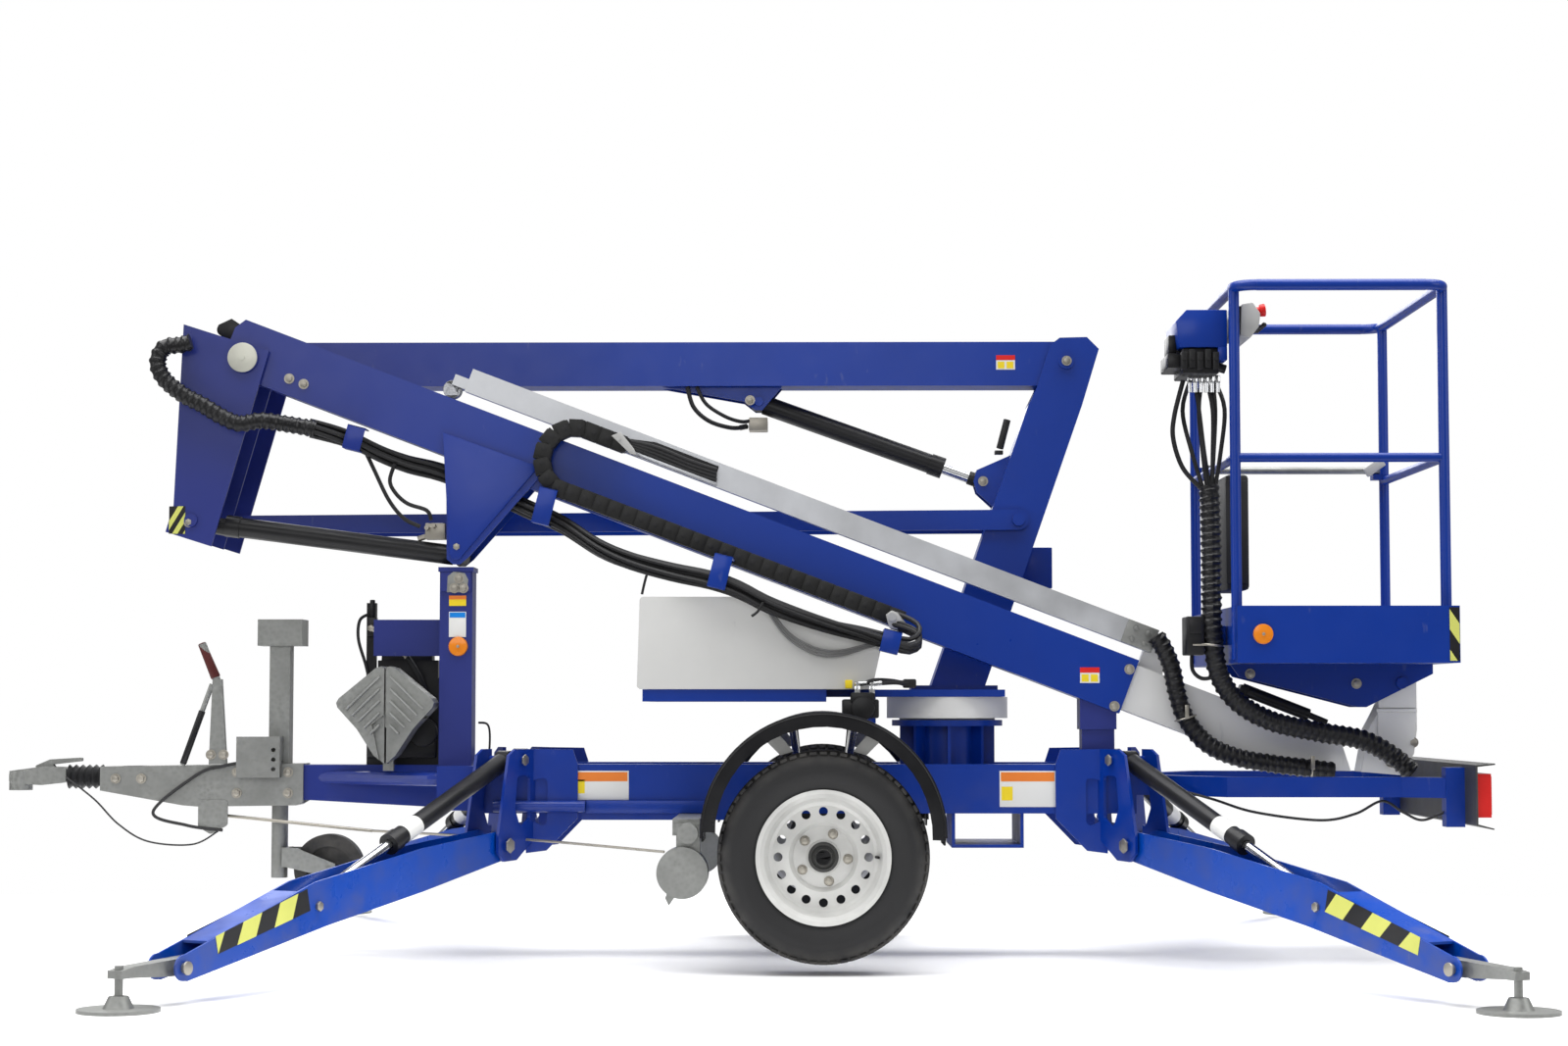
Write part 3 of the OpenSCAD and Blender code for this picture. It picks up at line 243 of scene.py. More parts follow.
class Shape:
    """A piece made up with bmesh operators, in the row frame."""

    def __init__(self):
        self.bm = bmesh.new()

    def _keep(self, before, turn, bevel=0.0):
        """Places what was added after before, and rounds its sharp edges."""
        added = [v for v in self.bm.verts if v not in before]
        bmesh.ops.transform(self.bm, matrix=turn, verts=added)
        if bevel:
            edges = [e for e in self.bm.edges if e.verts[0] not in before
                     and len(e.link_faces) == 2 and e.calc_face_angle(0) > SHARP]
            bmesh.ops.bevel(self.bm, geom=edges, offset=bevel, offset_type="OFFSET", segments=2, profile=0.5,
                            affect="EDGES", material=-1, clamp_overlap=True)
        return self

    def block(self, low, high, bevel=0.0015, turn=None):
        before = set(self.bm.verts)
        bmesh.ops.create_cube(self.bm, size=1)
        size = [b - a for a, b in zip(low, high)]
        middle = [(a + b) / 2 for a, b in zip(low, high)]
        place = Matrix.Translation(middle) @ Matrix.Diagonal((*size, 1))
        return self._keep(before, (turn or Matrix()) @ place, bevel)

    def rod(self, start, end, radius, sides=20, tip=None, bevel=0.0):
        before = set(self.bm.verts)
        start, end = Vector(start), Vector(end)
        along = end - start
        bmesh.ops.create_cone(self.bm, cap_ends=True, segments=sides, radius1=radius,
                              radius2=radius if tip is None else tip, depth=along.length)
        turn = Matrix.Translation((start + end) / 2) @ along.to_track_quat("Z", "Y").to_matrix().to_4x4()
        return self._keep(before, turn, bevel)

    def bolt(self, at, radius, washer=True):
        """Hexagon head on a face that looks along -Y."""
        at = Vector(at)
        out = Vector((0, -1, 0))
        if washer:
            self.rod(at, at + out * radius * 0.22, radius * 1.45, 20)
        return self.rod(at, at + out * radius * 0.8, radius, 6, bevel=radius * 0.1)

    def ball(self, at, radius):
        before = set(self.bm.verts)
        bmesh.ops.create_uvsphere(self.bm, u_segments=16, v_segments=10, radius=radius)
        return self._keep(before, Matrix.Translation(at))

    def sheet(self, outline, low, high, bevel=0.001, turn=None):
        """Plate in the X-Z plane between two Y values."""
        before = set(self.bm.verts)
        ring = [self.bm.verts.new((x, low, z)) for x, z in outline]
        face = self.bm.faces.new(ring)
        made = bmesh.ops.extrude_face_region(self.bm, geom=[face])
        moved = [v for v in made["geom"] if isinstance(v, bmesh.types.BMVert)]
        bmesh.ops.translate(self.bm, vec=(0, high - low, 0), verts=moved)
        return self._keep(before, turn or Matrix(), bevel)

    def ring(self, at, major, minor, axis=(0, 1, 0)):
        before = set(self.bm.verts)
        made = bmesh.ops.create_circle(self.bm, segments=10, radius=minor)
        bmesh.ops.transform(self.bm, matrix=Matrix.Translation((major, 0, 0)) @ Matrix.Rotation(math.pi / 2, 4, "X"),
                            verts=made["verts"])
        geom = list({e for v in made["verts"] for e in v.link_edges}) + made["verts"]
        bmesh.ops.spin(self.bm, geom=geom, cent=(0, 0, 0), axis=(0, 0, 1), dvec=(0, 0, 0), angle=2 * math.pi,
                       steps=28, use_merge=True, use_duplicate=False)
        turn = Matrix.Translation(at) @ Vector(axis).to_track_quat("Z", "Y").to_matrix().to_4x4()
        return self._keep(before, turn)

    def tube(self, points, radius, sides=10, wrap=0.0, depth=0.0, step=None):
        """Tube along points. A wrap gives it the ridges of a spiral."""
        line = smooth_line(points, step or (wrap / 6 if wrap else radius * 1.2))
        before = set(self.bm.verts)
        previous, run, up = None, 0.0, Vector((0, 1, 0.01)).normalized()
        for i, point in enumerate(line):
            tangent = (line[min(i + 1, len(line) - 1)] - line[max(i - 1, 0)]).normalized()
            up = (up - tangent * up.dot(tangent)).normalized()
            over = tangent.cross(up)
            if i:
                run += (point - line[i - 1]).length
            ring = []
            for k in range(sides):
                angle = 2 * math.pi * k / sides
                swell = depth * max(0.0, math.sin(2 * math.pi * run / wrap - angle)) ** 0.5 if wrap else 0.0
                out = up * math.cos(angle) + over * math.sin(angle)
                ring.append(self.bm.verts.new(point + out * (radius + swell)))
            edges = [self.bm.edges.new((ring[k], ring[(k + 1) % sides])) for k in range(sides)]
            if previous:
                bmesh.ops.bridge_loops(self.bm, edges=previous + edges)
            else:
                self.bm.faces.new(ring)
            previous = edges
        self.bm.faces.new(ring)
        return self._keep(before, Matrix())

    def done(self, name, body, look, replaces=(), slot=None):
        """Makes the piece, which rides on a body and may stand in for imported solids."""
        bmesh.ops.recalc_face_normals(self.bm, faces=self.bm.faces)
        mesh = bpy.data.meshes.new(name)
        self.bm.to_mesh(mesh)
        self.bm.free()
        piece = bpy.data.objects.new(name, mesh)
        bpy.context.scene.collection.objects.link(piece)
        mesh.materials.append(LOOK[look])
        mesh.shade_smooth()
        mesh.set_sharp_from_angle(angle=CREASE)
        if replaces:
            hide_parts(*replaces)
        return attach(piece, body)


LOOK = {}


def smooth_line(points, step):
    """Points a step apart on a smooth curve through the given ones."""
    p = [Vector(q) for q in points]
    dense = []
    for i in range(len(p) - 1):
        a, b, c, d = p[max(i - 1, 0)], p[i], p[i + 1], p[min(i + 2, len(p) - 1)]
        parts = max(2, int((c - b).length / step) + 1)
        for k in range(parts):
            t = k / parts
            dense.append(0.5 * (2 * b + (c - a) * t + (2 * a - 5 * b + 4 * c - d) * t ** 2
                                + (3 * b - a - 3 * c + d) * t ** 3))
    return dense + [p[-1]]


def on_slope(t, y, n):
    """Row point of a place t along the upper boom and n across it."""
    return Vector((LIFT_TOP.x + t * math.cos(SLOPE) + n * math.sin(SLOPE), y,
                   LIFT_TOP.z - t * math.sin(SLOPE) + n * math.cos(SLOPE)))


def slope_turn(t, y, n):
    """Frame at that place whose X runs down the upper boom."""
    return Matrix.Translation(on_slope(t, y, n)) @ Matrix.Rotation(SLOPE, 4, "Y")


def corner_frame(corner):
    """Frame of one outrigger: X runs out along the leg from its hinge, Z is up."""
    sx = -1 if "front" in corner else 1
    sy = -1 if "left" in corner else 1
    angle = math.atan2(sy * 1.418, sx * 0.776)
    return Matrix.Translation((0.29 + sx * 0.99, sy * 0.3, 0)) @ Matrix.Rotation(angle, 4, "Z")


# Operators

class LiftOperator(bpy.types.Operator):
    """Base of the operators that dress the machine."""
    bl_options = {"REGISTER", "UNDO"}

    @property
    def finish(self):
        return bpy.context.scene.lift_finish

    @property
    def sizes(self):
        return bpy.context.scene.lift_sizes

    def execute(self, context):
        self.make()
        return {"FINISHED"}


class PaintSolids(LiftOperator):
    """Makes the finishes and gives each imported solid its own"""
    bl_idname = "lift.paint_solids"
    bl_label = "Paint the Solids"

    def make(self):
        f = self.finish
        blue, violet, leg_blue, white, zinc = (tuple(c) for c in (f.blue, f.violet, f.leg_blue, f.white, f.zinc))
        LOOK.update(
            blue=enamel("blue_enamel", blue, violet),
            violet=enamel("faded_enamel", violet, None, 0.36),
            leg=enamel("leg_enamel", leg_blue, None, 0.26, 0.5),
            white=enamel("white_enamel", white, None, 0.32, 0.25),
            cover=enamel("cover_gelcoat", (0.66, 0.66, 0.645), None, 0.4, 0.2),
            zinc=dipped("galvanised", zinc),
            rim=plain("rim_paint", (0.50, 0.50, 0.485), 0.34, 0.1, 0.05),
            rail=plain("rail_aluminium", (0.47, 0.48, 0.5), 0.34, 0.8, 0.06, 260.0),
            black=plain("black_enamel", (0.010, 0.010, 0.011), 0.3, 0.0, 0.05),
            gloss=plain("mudguard_plastic", (0.008, 0.008, 0.009), 0.16, 0.0, 0.0),
            chain=plain("chain_plastic", (0.010, 0.010, 0.010), 0.42, 0.0, 0.1),
            hose=plain("hose_rubber", (0.010, 0.010, 0.011), 0.42, 0.0, 0.12, 300.0),
            wrap=plain("spiral_wrap", (0.008, 0.008, 0.009), 0.28, 0.0, 0.0),
            grey=plain("board_sheet", (0.045, 0.045, 0.043), 0.42, 0.2, 0.05),
            chrome=plain("hard_chrome", (0.62, 0.63, 0.64), 0.12, 1.0, 0.0, vary=0.1),
            steel=plain("plated_bolts", (0.33, 0.31, 0.27), 0.36, 0.9, 0.08),
            disc=plain("pin_cap", (0.50, 0.50, 0.44), 0.38, 0.6, 0.15, 90.0),
            cable=plain("cable_sheath", (0.02, 0.02, 0.021), 0.5),
            grey_cable=plain("grey_cable", (0.16, 0.16, 0.16), 0.5),
            red=plain("lamp_lens", (0.55, 0.012, 0.01), 0.12, Coat_Weight=0.6),
            grip=plain("brake_grip", (0.075, 0.012, 0.011), 0.42),
            stop=plain("stop_knob", (0.6, 0.012, 0.01), 0.3),
            orange=plain("reflector", tuple(f.orange), 0.2, vary=0.1, Coat_Weight=0.5),
            yellow=plain("hazard_yellow", tuple(f.hazard), 0.4, vary=0.15),
            film=plain("white_film", (0.7, 0.7, 0.68), 0.35, vary=0.1),
            header=plain("orange_film", (0.75, 0.2, 0.03), 0.35, vary=0.1),
            amber=plain("yellow_film", (0.8, 0.6, 0.02), 0.35, vary=0.1),
            sky=plain("blue_film", (0.0, 0.19, 0.62), 0.35, vary=0.1),
            panel=plain("control_panel", (0.40, 0.40, 0.39), 0.45, vary=0.15),
            tyre=tyre_rubber(),
        )
        painted = {
            "blue": "chassis_frame drawbar_tubes outrigger_brackets turntable king_post lower_boom tie_link "
                    "upper_boom cage_frame cage_tray",
            "violet": "knuckle boom_post boom_rest",
            "white": "inner_boom slew_ring",
            "cover": "power_cover",
            "zinc": "drawbar_housing coupling_head jack_sleeve jack_leg wheel_chocks traction_drives gate_bar",
            "rim": "rim_left rim_right",
            "rail": "chain_rail",
            "black": "axle engine_pack lift_barrel luff_barrel",
            "gloss": "mudguards",
            "chrome": "lift_rod luff_rod",
            "grey": "light_board",
            "red": "tail_lamps",
            "hose": "drawbar_bellows",
            "tyre": "tyre_left tyre_right jockey_wheel",
            "chain": "energy_chain",
            "wrap": "boom_hoses tail_hoses cage_hoses",
        }
        for corner in CORNERS:
            for kind, look in (("leg", "leg"), ("foot", "zinc"), ("barrel", "black"), ("rod", "chrome")):
                painted[look] = painted.get(look, "") + f" {kind}_{corner}"
        for look, names in painted.items():
            for name in names.split():
                for place in NODES[name].material_slots:
                    place.material = LOOK[look]


class FitTyres(LiftOperator):
    """Tyres with grooves, tread blocks and side rings, rim bolts and caps"""
    bl_idname = "lift.fit_tyres"
    bl_label = "Fit the Tyres"

    def make(self):
        # Radius and width of half the section: the side wall, then the tread with its grooves
        section = [(0.178, -0.062), (0.186, -0.072), (0.196, -0.078), (0.206, -0.081), (0.222, -0.087),
                   (0.240, -0.0915), (0.256, -0.0925), (0.262, -0.0905), (0.266, -0.091), (0.280, -0.087),
                   (0.292, -0.080), (0.3005, -0.071)]
        tread = [(0.3055, -0.062), (0.3065, -0.044), (0.2990, -0.042), (0.2990, -0.036), (0.3070, -0.034),
                 (0.3070, -0.004), (0.2990, -0.003), (0.2990, 0.003)]
        half = section + tread
        profile = half + [(r, -y) for r, y in reversed(half[:-1])]
        for name, side in (("left", -1), ("right", 1)):
            shape = Shape()
            ring = [shape.bm.verts.new((r, y, 0)) for r, y in profile]
            edges = [shape.bm.edges.new((ring[i - 1], ring[i])) for i in range(len(ring))]
            bmesh.ops.spin(shape.bm, geom=ring + edges, cent=(0, 0, 0), axis=(0, 1, 0), dvec=(0, 0, 0),
                           angle=2 * math.pi, steps=96, use_merge=True, use_duplicate=False)
            centre = Matrix.Translation((WHEEL.x, side * WHEEL.y, WHEEL.z))
            bmesh.ops.transform(shape.bm, matrix=centre, verts=shape.bm.verts[:])
            count = self.sizes.tread_blocks
            for k in range(count):
                turn = centre @ Matrix.Rotation(2 * math.pi * k / count, 4, "Y")
                for y in (-0.0715, 0.0715):
                    lean = Matrix.Rotation(0.35 if y > 0 else -0.35, 4, "X")
                    block = turn @ Matrix.Translation((0, y, 0.2965)) @ lean
                    shape.block((-0.0105, -0.012, -0.004), (0.0105, 0.012, 0.0042), 0.0012, block)
            shape.done(f"tyre_tread_{name}", f"wheel_{name}", "tyre", [f"tyre_{name}"], slot="tyre_rubber")
            hub = Shape()
            face = side * (WHEEL.y + 0.0165)
            out = Vector((0, side, 0))
            for k in range(5):
                angle = 2 * math.pi * k / 5 + 0.4
                at = Vector((WHEEL.x + 0.07 * math.sin(angle), face, WHEEL.z + 0.07 * math.cos(angle)))
                hub.rod(at, at + out * 0.006, 0.016, 20, 0.013)
                hub.rod(at, at + out * 0.018, 0.0095, 6, bevel=0.001)
            hub.done(f"wheel_bolts_{name}", f"wheel_{name}", "steel")
            cap = Shape()
            middle = Vector((WHEEL.x, side * (WHEEL.y + 0.028), WHEEL.z))
            cap.rod(middle, middle + out * 0.008, 0.044, 36, bevel=0.002)
            cap.rod(middle, middle + out * 0.032, 0.027, 32, 0.024, bevel=0.003)
            cap.ring(middle + out * 0.009, 0.036, 0.004)
            cap.done(f"hub_cap_{name}", f"wheel_{name}", "grey")
            valve = Shape()
            foot = Vector((WHEEL.x + 0.152, side * (WHEEL.y + 0.028), WHEEL.z))
            valve.rod(foot, foot + Vector((0.006, side * 0.03, 0)), 0.0045, 10, bevel=0.001)
            valve.done(f"valve_{name}", f"wheel_{name}", "hose")


class LinkChain(LiftOperator):
    """Energy chain as separate links with their pin bosses"""
    bl_idname = "lift.link_chain"
    bl_label = "Link the Energy Chain"

    def make(self):
        low, high, start, far, near = -0.030, 0.168, 1.078, 2.2, 1.208
        radius, middle = (high - low) / 2, (high + low) / 2
        straight, bend, back = far - start, math.pi * radius, near - start
        count = round((straight + bend + back) / self.sizes.link_pitch)
        pitch = (straight + bend + back) / count
        links, bosses = Shape(), Shape()
        for i in range(count):
            run = (i + 0.5) * pitch
            if run < straight:
                t, n, turn = far - run, low, math.pi
            elif run < straight + bend:
                angle = (run - straight) / radius
                t, n, turn = start - radius * math.sin(angle), middle - radius * math.cos(angle), math.pi + angle
            else:
                t, n, turn = start + run - straight - bend, high, 0.0
            place = slope_turn(t, CHAIN_NEAR + 0.025, n) @ Matrix.Rotation(turn, 4, "Y")
            half = pitch / 2
            links.block((-half + 0.0008, -0.0225, -0.0265), (half - 0.0008, 0.0225, 0.0265), 0.0016, place)
            links.block((-half * 0.55, -0.0248, -0.0235), (half * 1.25, 0.0248, 0.0235), 0.0015, place)
            head = place @ Vector((half * 0.55, -0.0253, 0))
            bosses.rod(head, head + Vector((0, 0.004, 0)), 0.009, 14, bevel=0.0006)
        links.done("chain_links", "upper_boom", "chain", ["energy_chain"], slot="black_plastic")
        bosses.done("chain_pins", "upper_boom", "hose")
        clamps = Shape()
        clamps.sheet([(0.502, 1.050), (0.520, 1.063), (0.538, 1.056), (0.566, 1.022), (0.557, 1.000), (0.514, 1.008)],
                     -0.262, -0.2545, 0.0015)
        clamps.rod((0.522, -0.266, 1.043), (0.522, -0.26, 1.043), 0.013, 16)
        clamps.done("chain_seat", "upper_boom", "panel")
        lug = Shape().sheet([(-0.339, 1.600), (-0.311, 1.612), (-0.270, 1.560), (-0.262, 1.540), (-0.282, 1.545)],
                            -0.262, -0.2555)
        lug.rod((-0.318, -0.266, 1.593), (-0.318, -0.26, 1.593), 0.0085, 16)
        lug.done("chain_lug", "inner_boom", "panel")
        dark = Shape().sheet([(-0.296, 1.598), (-0.206, 1.586), (-0.011, 1.511), (-0.026, 1.460), (-0.091, 1.488),
                              (-0.206, 1.537), (-0.278, 1.572)], -0.1925, -0.1903)
        dark.done("rail_shadow", "inner_boom", "black")
        inside = Shape()
        for k in range(4):
            drop = 0.011 * k
            inside.tube([(-0.295, -0.199, 1.590 - drop * 0.5), (-0.206, -0.2, 1.570 - drop),
                         (-0.10, -0.2, 1.527 - drop), (-0.018, -0.199, 1.500 - drop)], 0.0062, 8)
        inside.done("rail_hoses", "inner_boom", "hose")
        lip = Shape().sheet([(-0.307, 1.570), (-0.018, 1.459), (-0.021, 1.451), (-0.310, 1.562)], -0.2065, -0.1995)
        lip.done("rail_lip", "inner_boom", "rail")


class RunHoses(LiftOperator):
    """Hoses with their spiral wrap, and the thinner hoses and cables that leave it"""
    bl_idname = "lift.run_hoses"
    bl_label = "Run the Hoses"

    def make(self):
        pitch = self.sizes.wrap_pitch
        boom = [(-1.640, 1.893), (-1.671, 1.884), (-1.722, 1.875), (-1.742, 1.830), (-1.722, 1.780), (-1.666, 1.732),
                (-1.599, 1.696), (-1.543, 1.662), (-1.487, 1.640), (-1.419, 1.649), (-1.341, 1.638), (-1.250, 1.622)]
        wrap = Shape().tube([(x, -0.25, z) for x, z in boom], 0.0235, 14, pitch, 0.004)
        wrap.done("boom_wrap", "upper_boom", "wrap", ["boom_hoses"], slot="black_rubber")
        base = [(-1.270, -0.250, 1.626), (-1.209, -0.240, 1.610), (-1.143, -0.220, 1.588), (-1.066, -0.175, 1.552),
                (-0.978, -0.165, 1.520), (-0.874, -0.160, 1.495), (-0.722, -0.160, 1.436), (-0.615, -0.170, 1.385),
                (-0.494, -0.205, 1.330), (-0.375, -0.275, 1.253), (-0.274, -0.320, 1.210), (-0.145, -0.370, 1.174),
                (-0.030, -0.398, 1.150), (0.056, OVER_COVER, 1.122), (0.142, OVER_COVER, 1.080),
                (0.242, OVER_COVER, 1.044),
                (0.342, OVER_COVER, 1.014), (0.428, OVER_COVER, 0.993), (0.514, -0.395, 0.968), (0.571, -0.370, 0.955),
                (0.602, -0.330, 0.973), (0.598, -0.290, 1.000), (0.560, -0.262, 1.022), (0.520, -0.242, 1.036)]
        self.bundle("boom_strands", "upper_boom", base, 9, 0.0225, 0.0078, 0.035)
        for k, line in enumerate((
                [(-1.109, 1.563), (-1.078, 1.499), (-1.033, 1.408), (-0.986, 1.351), (-0.935, 1.325)],
                [(-1.015, 1.520), (-1.030, 1.468), (-1.012, 1.429), (-0.974, 1.396), (-0.915, 1.375),
                 (-0.901, 1.345)])):
            branch = Shape().tube([(x, -0.192, z) for x, z in line], 0.0062, 8)
            branch.done(f"boom_branch_{k + 1}", "upper_boom", "hose")
        tail = [(1.330, 0.985), (1.350, 0.955), (1.376, 0.894), (1.395, 0.805), (1.421, 0.732), (1.481, 0.659),
                (1.571, 0.616), (1.684, 0.595), (1.781, 0.583), (1.870, 0.572)]
        Shape().tube([(x, -0.222, z) for x, z in tail], 0.026, 14, pitch, 0.004).done(
            "tail_wrap", "inner_boom", "wrap", ["tail_hoses"], slot="black_rubber")
        strands = Shape()
        for x, swing in ((1.427, -0.020), (1.443, 0.010), (1.463, -0.008), (1.480, 0.014), (1.497, 0.006),
                         (1.507, 0.022)):
            strands.tube([(x, CAGE_HOSE + swing, 1.76), (x + swing, CAGE_HOSE - swing, 1.67),
                          (0.6 * x + 0.594 + swing, CAGE_HOSE + swing / 2, 1.54),
                          (1.484 + swing / 2, CAGE_HOSE, 1.40)], 0.0066, 8, step=0.025)
        strands.tube([(1.407, CAGE_HOSE, 1.76), (1.379, -0.335, 1.653), (1.375, -0.335, 1.581), (1.403, -0.335, 1.493),
                      (1.459, -0.333, 1.430)], 0.0072, 8)
        strands.done("console_strands", "cage", "hose")
        cage = [(1.480, -0.330, 1.440), (1.484, -0.330, 1.405), (1.487, -0.330, 1.245), (1.487, -0.330, 1.085),
                (1.489, -0.330, 0.989), (1.508, -0.320, 0.869), (1.566, -0.310, 0.784), (1.673, -0.290, 0.725),
                (1.821, -0.270, 0.692), (1.952, -0.260, 0.668), (2.042, -0.255, 0.620), (2.100, -0.250, 0.572)]
        Shape().tube(cage, 0.028, 14, pitch, 0.0045).done("cage_wrap", "cage", "wrap", ["cage_hoses"],
                                                          slot="black_rubber")
        ends = Shape()
        for k in range(6):
            x = 1.425 + 0.017 * k
            ends.rod((x, -0.345, 1.774), (x, -0.345, 1.75), 0.0085, 6, bevel=0.001)
            ends.rod((x, -0.345, 1.752), (x, -0.345, 1.722), 0.0068, 12)
        ends.done("hose_ends", "cage", "chrome")
        ties = Shape()
        ties.ring((1.484, -0.33, 0.955), 0.034, 0.0035, (0.1, 0, 1))
        ties.block((1.425, -0.3625, 0.953), (1.484, -0.3595, 0.958), 0.001)
        ties.done("wrap_ring", "cage", "steel")
        for name, at, along in (("a", (1.419, -0.222, 0.735), (0.3, 0, -1)),
                                ("b", (1.80, -0.222, 0.58), (1, 0, -0.12))):
            band = Shape().ring(at, 0.0325, 0.003, along)
            band.block((at[0] - 0.006, -0.262, at[2] - 0.002), (at[0] + 0.006, -0.255, at[2] + 0.04), 0.001)
            band.done(f"tail_clip_{name}", "inner_boom", "steel")
        spare = Shape()
        spare.tube([(-0.220, -0.27, 1.195), (-0.232, -0.272, 1.16), (-0.243, -0.274, 1.112)], 0.0045, 6)
        spare.tube([(0.13, -0.43, 1.082), (0.115, -0.434, 1.055), (0.096, -0.436, 1.04)], 0.0045, 6)
        spare.done("tie_tails", "upper_boom", "hose")

    def bundle(self, name, body, base, count, spread, radius, step):
        """Several hoses that lie round one line and wander a little."""
        rng, strands = random.Random(4), Shape()
        for k in range(count):
            reach = spread * (0.35 if k % 3 == 0 else 1.0)
            angle, drift = 2 * math.pi * k / count, rng.uniform(0.12, 0.3)
            points = [(x, y + reach * 0.7 * math.cos(angle + i * drift), z + reach * math.sin(angle + i * drift))
                      for i, (x, y, z) in enumerate(base)]
            strands.tube(points, radius, 8, step=step)
        strands.done(name, body, "hose")


class StickFilms(LiftOperator):
    """Blank plates, hazard films and reflectors"""
    bl_idname = "lift.stick_films"
    bl_label = "Stick the Films"

    def hazard(self, name, body, turn, size, bands, ends=(1.0, 1.0), start=0.0, lean=0.6):
        """Striped film on the local X-Z plane, looking along local -Y. Its height goes from one end to the other."""
        wide, tall = size
        step, shift = wide / bands, lean * tall

        def fit(corners):
            return [(x, z * (ends[0] + (ends[1] - ends[0]) * x / wide)) for x, z in corners]

        base = Shape().sheet(fit([(0, 0), (wide, 0), (wide, tall), (0, tall)]), -0.0006, 0.0, 0, turn)
        base.done(f"{name}_black", body, "black")
        film = Shape()
        for k in range(-1, math.ceil(bands) + 1):
            low = (k + start) * step
            corners = clip_strip([(low, 0), (low + step / 2, 0), (low + step / 2 + shift, tall),
                                  (low + shift, tall)], wide)
            if len(corners) > 2:
                film.sheet(fit(corners), -0.0011, -0.0006, 0, turn)
        film.done(f"{name}_yellow", body, "yellow")

    def make(self):
        for corner in CORNERS:
            at = corner_frame(corner)
            for face in (-1, 1):
                slope = Matrix.Rotation(math.radians(13.2), 4, "Y")
                turn = at @ Matrix.Translation((0.915, face * 0.0481, 0.212)) @ slope
                if face > 0:
                    turn = turn @ Matrix.Translation((0.39, 0, 0)) @ Matrix.Rotation(math.pi, 4, "Z")
                side, ends, start = ("near", (1.0, 0.78), 0.0) if face < 0 else ("far", (0.78, 1.0), 0.5)
                self.hazard(f"leg_film_{corner}_{side}", f"leg_{corner}", turn, (0.39, 0.062), 2.5, ends, start)
            patch = Shape()
            run = Vector((0.957, 0, -0.385)).normalized()
            middle = at @ (Vector((-0.077, 0, 0.607)) + run * 0.52)
            axis = (at.to_3x3() @ run).normalized()
            patch.rod(middle - axis * 0.035, middle + axis * 0.035, 0.0286, 32)
            patch.done(f"barrel_film_{corner}", f"barrel_{corner}", "film")
        turn = Matrix.Translation((-1.709, -0.2125, 1.302))
        self.hazard("knuckle_film", "knuckle", turn, (0.05, 0.085), 1.5, start=0.3)
        turn = Matrix.Translation((2.161, -0.5295, 0.905))
        self.hazard("tray_film", "cage", turn, (0.029, 0.158), 0.3625, start=0.775, lean=-0.667)
        plates = Shape()
        orange, amber = Shape(), Shape()
        for x0, x1, z0, z1 in ((-0.461, -0.286, 0.484, 0.573), (0.851, 1.023, 0.463, 0.573)):
            plates.block((x0, -0.2014, z0), (x1, -0.2002, z1), 0.0005)
            orange.block((x0 + 0.004, -0.2019, z1 - 0.032), (x1 - 0.004, -0.2013, z1 - 0.004), 0)
            amber.block((x0 + 0.006, -0.2019, z0 + 0.02), (x0 + 0.04, -0.2013, z0 + 0.062), 0)
        plates.block((-0.845, -0.1815, 0.984), (-0.792, -0.1802, 1.062), 0.0005)
        amber.block((-0.845, -0.1815, 1.08), (-0.792, -0.1802, 1.112), 0.0005)
        orange.block((-0.845, -0.182, 1.1), (-0.792, -0.1813, 1.112), 0)
        Shape().block((-0.843, -0.182, 1.044), (-0.794, -0.1813, 1.06), 0).done("post_band", "chassis", "sky")
        plates.done("chassis_plates", "chassis", "film")
        orange.done("plate_bands", "chassis", "header")
        amber.done("plate_marks", "chassis", "amber")
        for name, body, x, y, z, wide, tall in (("boom", "upper_boom", 1.1, BOOM_NEAR, 0.842, 0.06, 0.048),
                                                ("lower_boom", "lower_boom", 0.862, 0.04, 1.838, 0.06, 0.046)):
            Shape().block((x, y - 0.001, z), (x + wide, y - 0.0001, z + tall), 0).done(f"{name}_plate", body, "film")
            head = Shape().block((x, y - 0.0015, z + tall * 0.66), (x + wide, y - 0.0009, z + tall), 0)
            head.done(f"{name}_plate_head", body, "stop")
            marks = Shape()
            for k in (0.08, 0.55):
                marks.block((x + k * wide, y - 0.0015, z + 0.004),
                            (x + (k + 0.36) * wide, y - 0.0009, z + tall * 0.55), 0)
            marks.done(f"{name}_plate_marks", body, "amber")
        for name, body, at in (("post", "chassis", (-0.816, -0.1802, 0.955)),
                               ("tray", "cage", (1.611, -0.5291, 0.984))):
            at = Vector(at)
            lens = Shape()
            lens.rod(at, at + Vector((0, -0.008, 0)), 0.0305, 36, 0.028, bevel=0.001)
            lens.done(f"reflector_{name}", body, "orange")
            screw = Shape().bolt(at + Vector((0, -0.008, 0)), 0.005, washer=False)
            screw.done(f"reflector_screw_{name}", body, "steel")


def clip_strip(points, wide):
    """Cuts a slanted strip to the film between x = 0 and x = wide."""
    for sign, limit in ((1, 0.0), (-1, -wide)):
        kept = []
        for i, (bx, bz) in enumerate(points):
            ax, az = points[i - 1]
            inside_a, inside_b = sign * ax >= limit, sign * bx >= limit
            if inside_a != inside_b:
                t = (limit * sign - ax) / (bx - ax)
                kept.append((limit * sign, az + t * (bz - az)))
            if inside_b:
                kept.append((bx, bz))
        points = kept
    return points


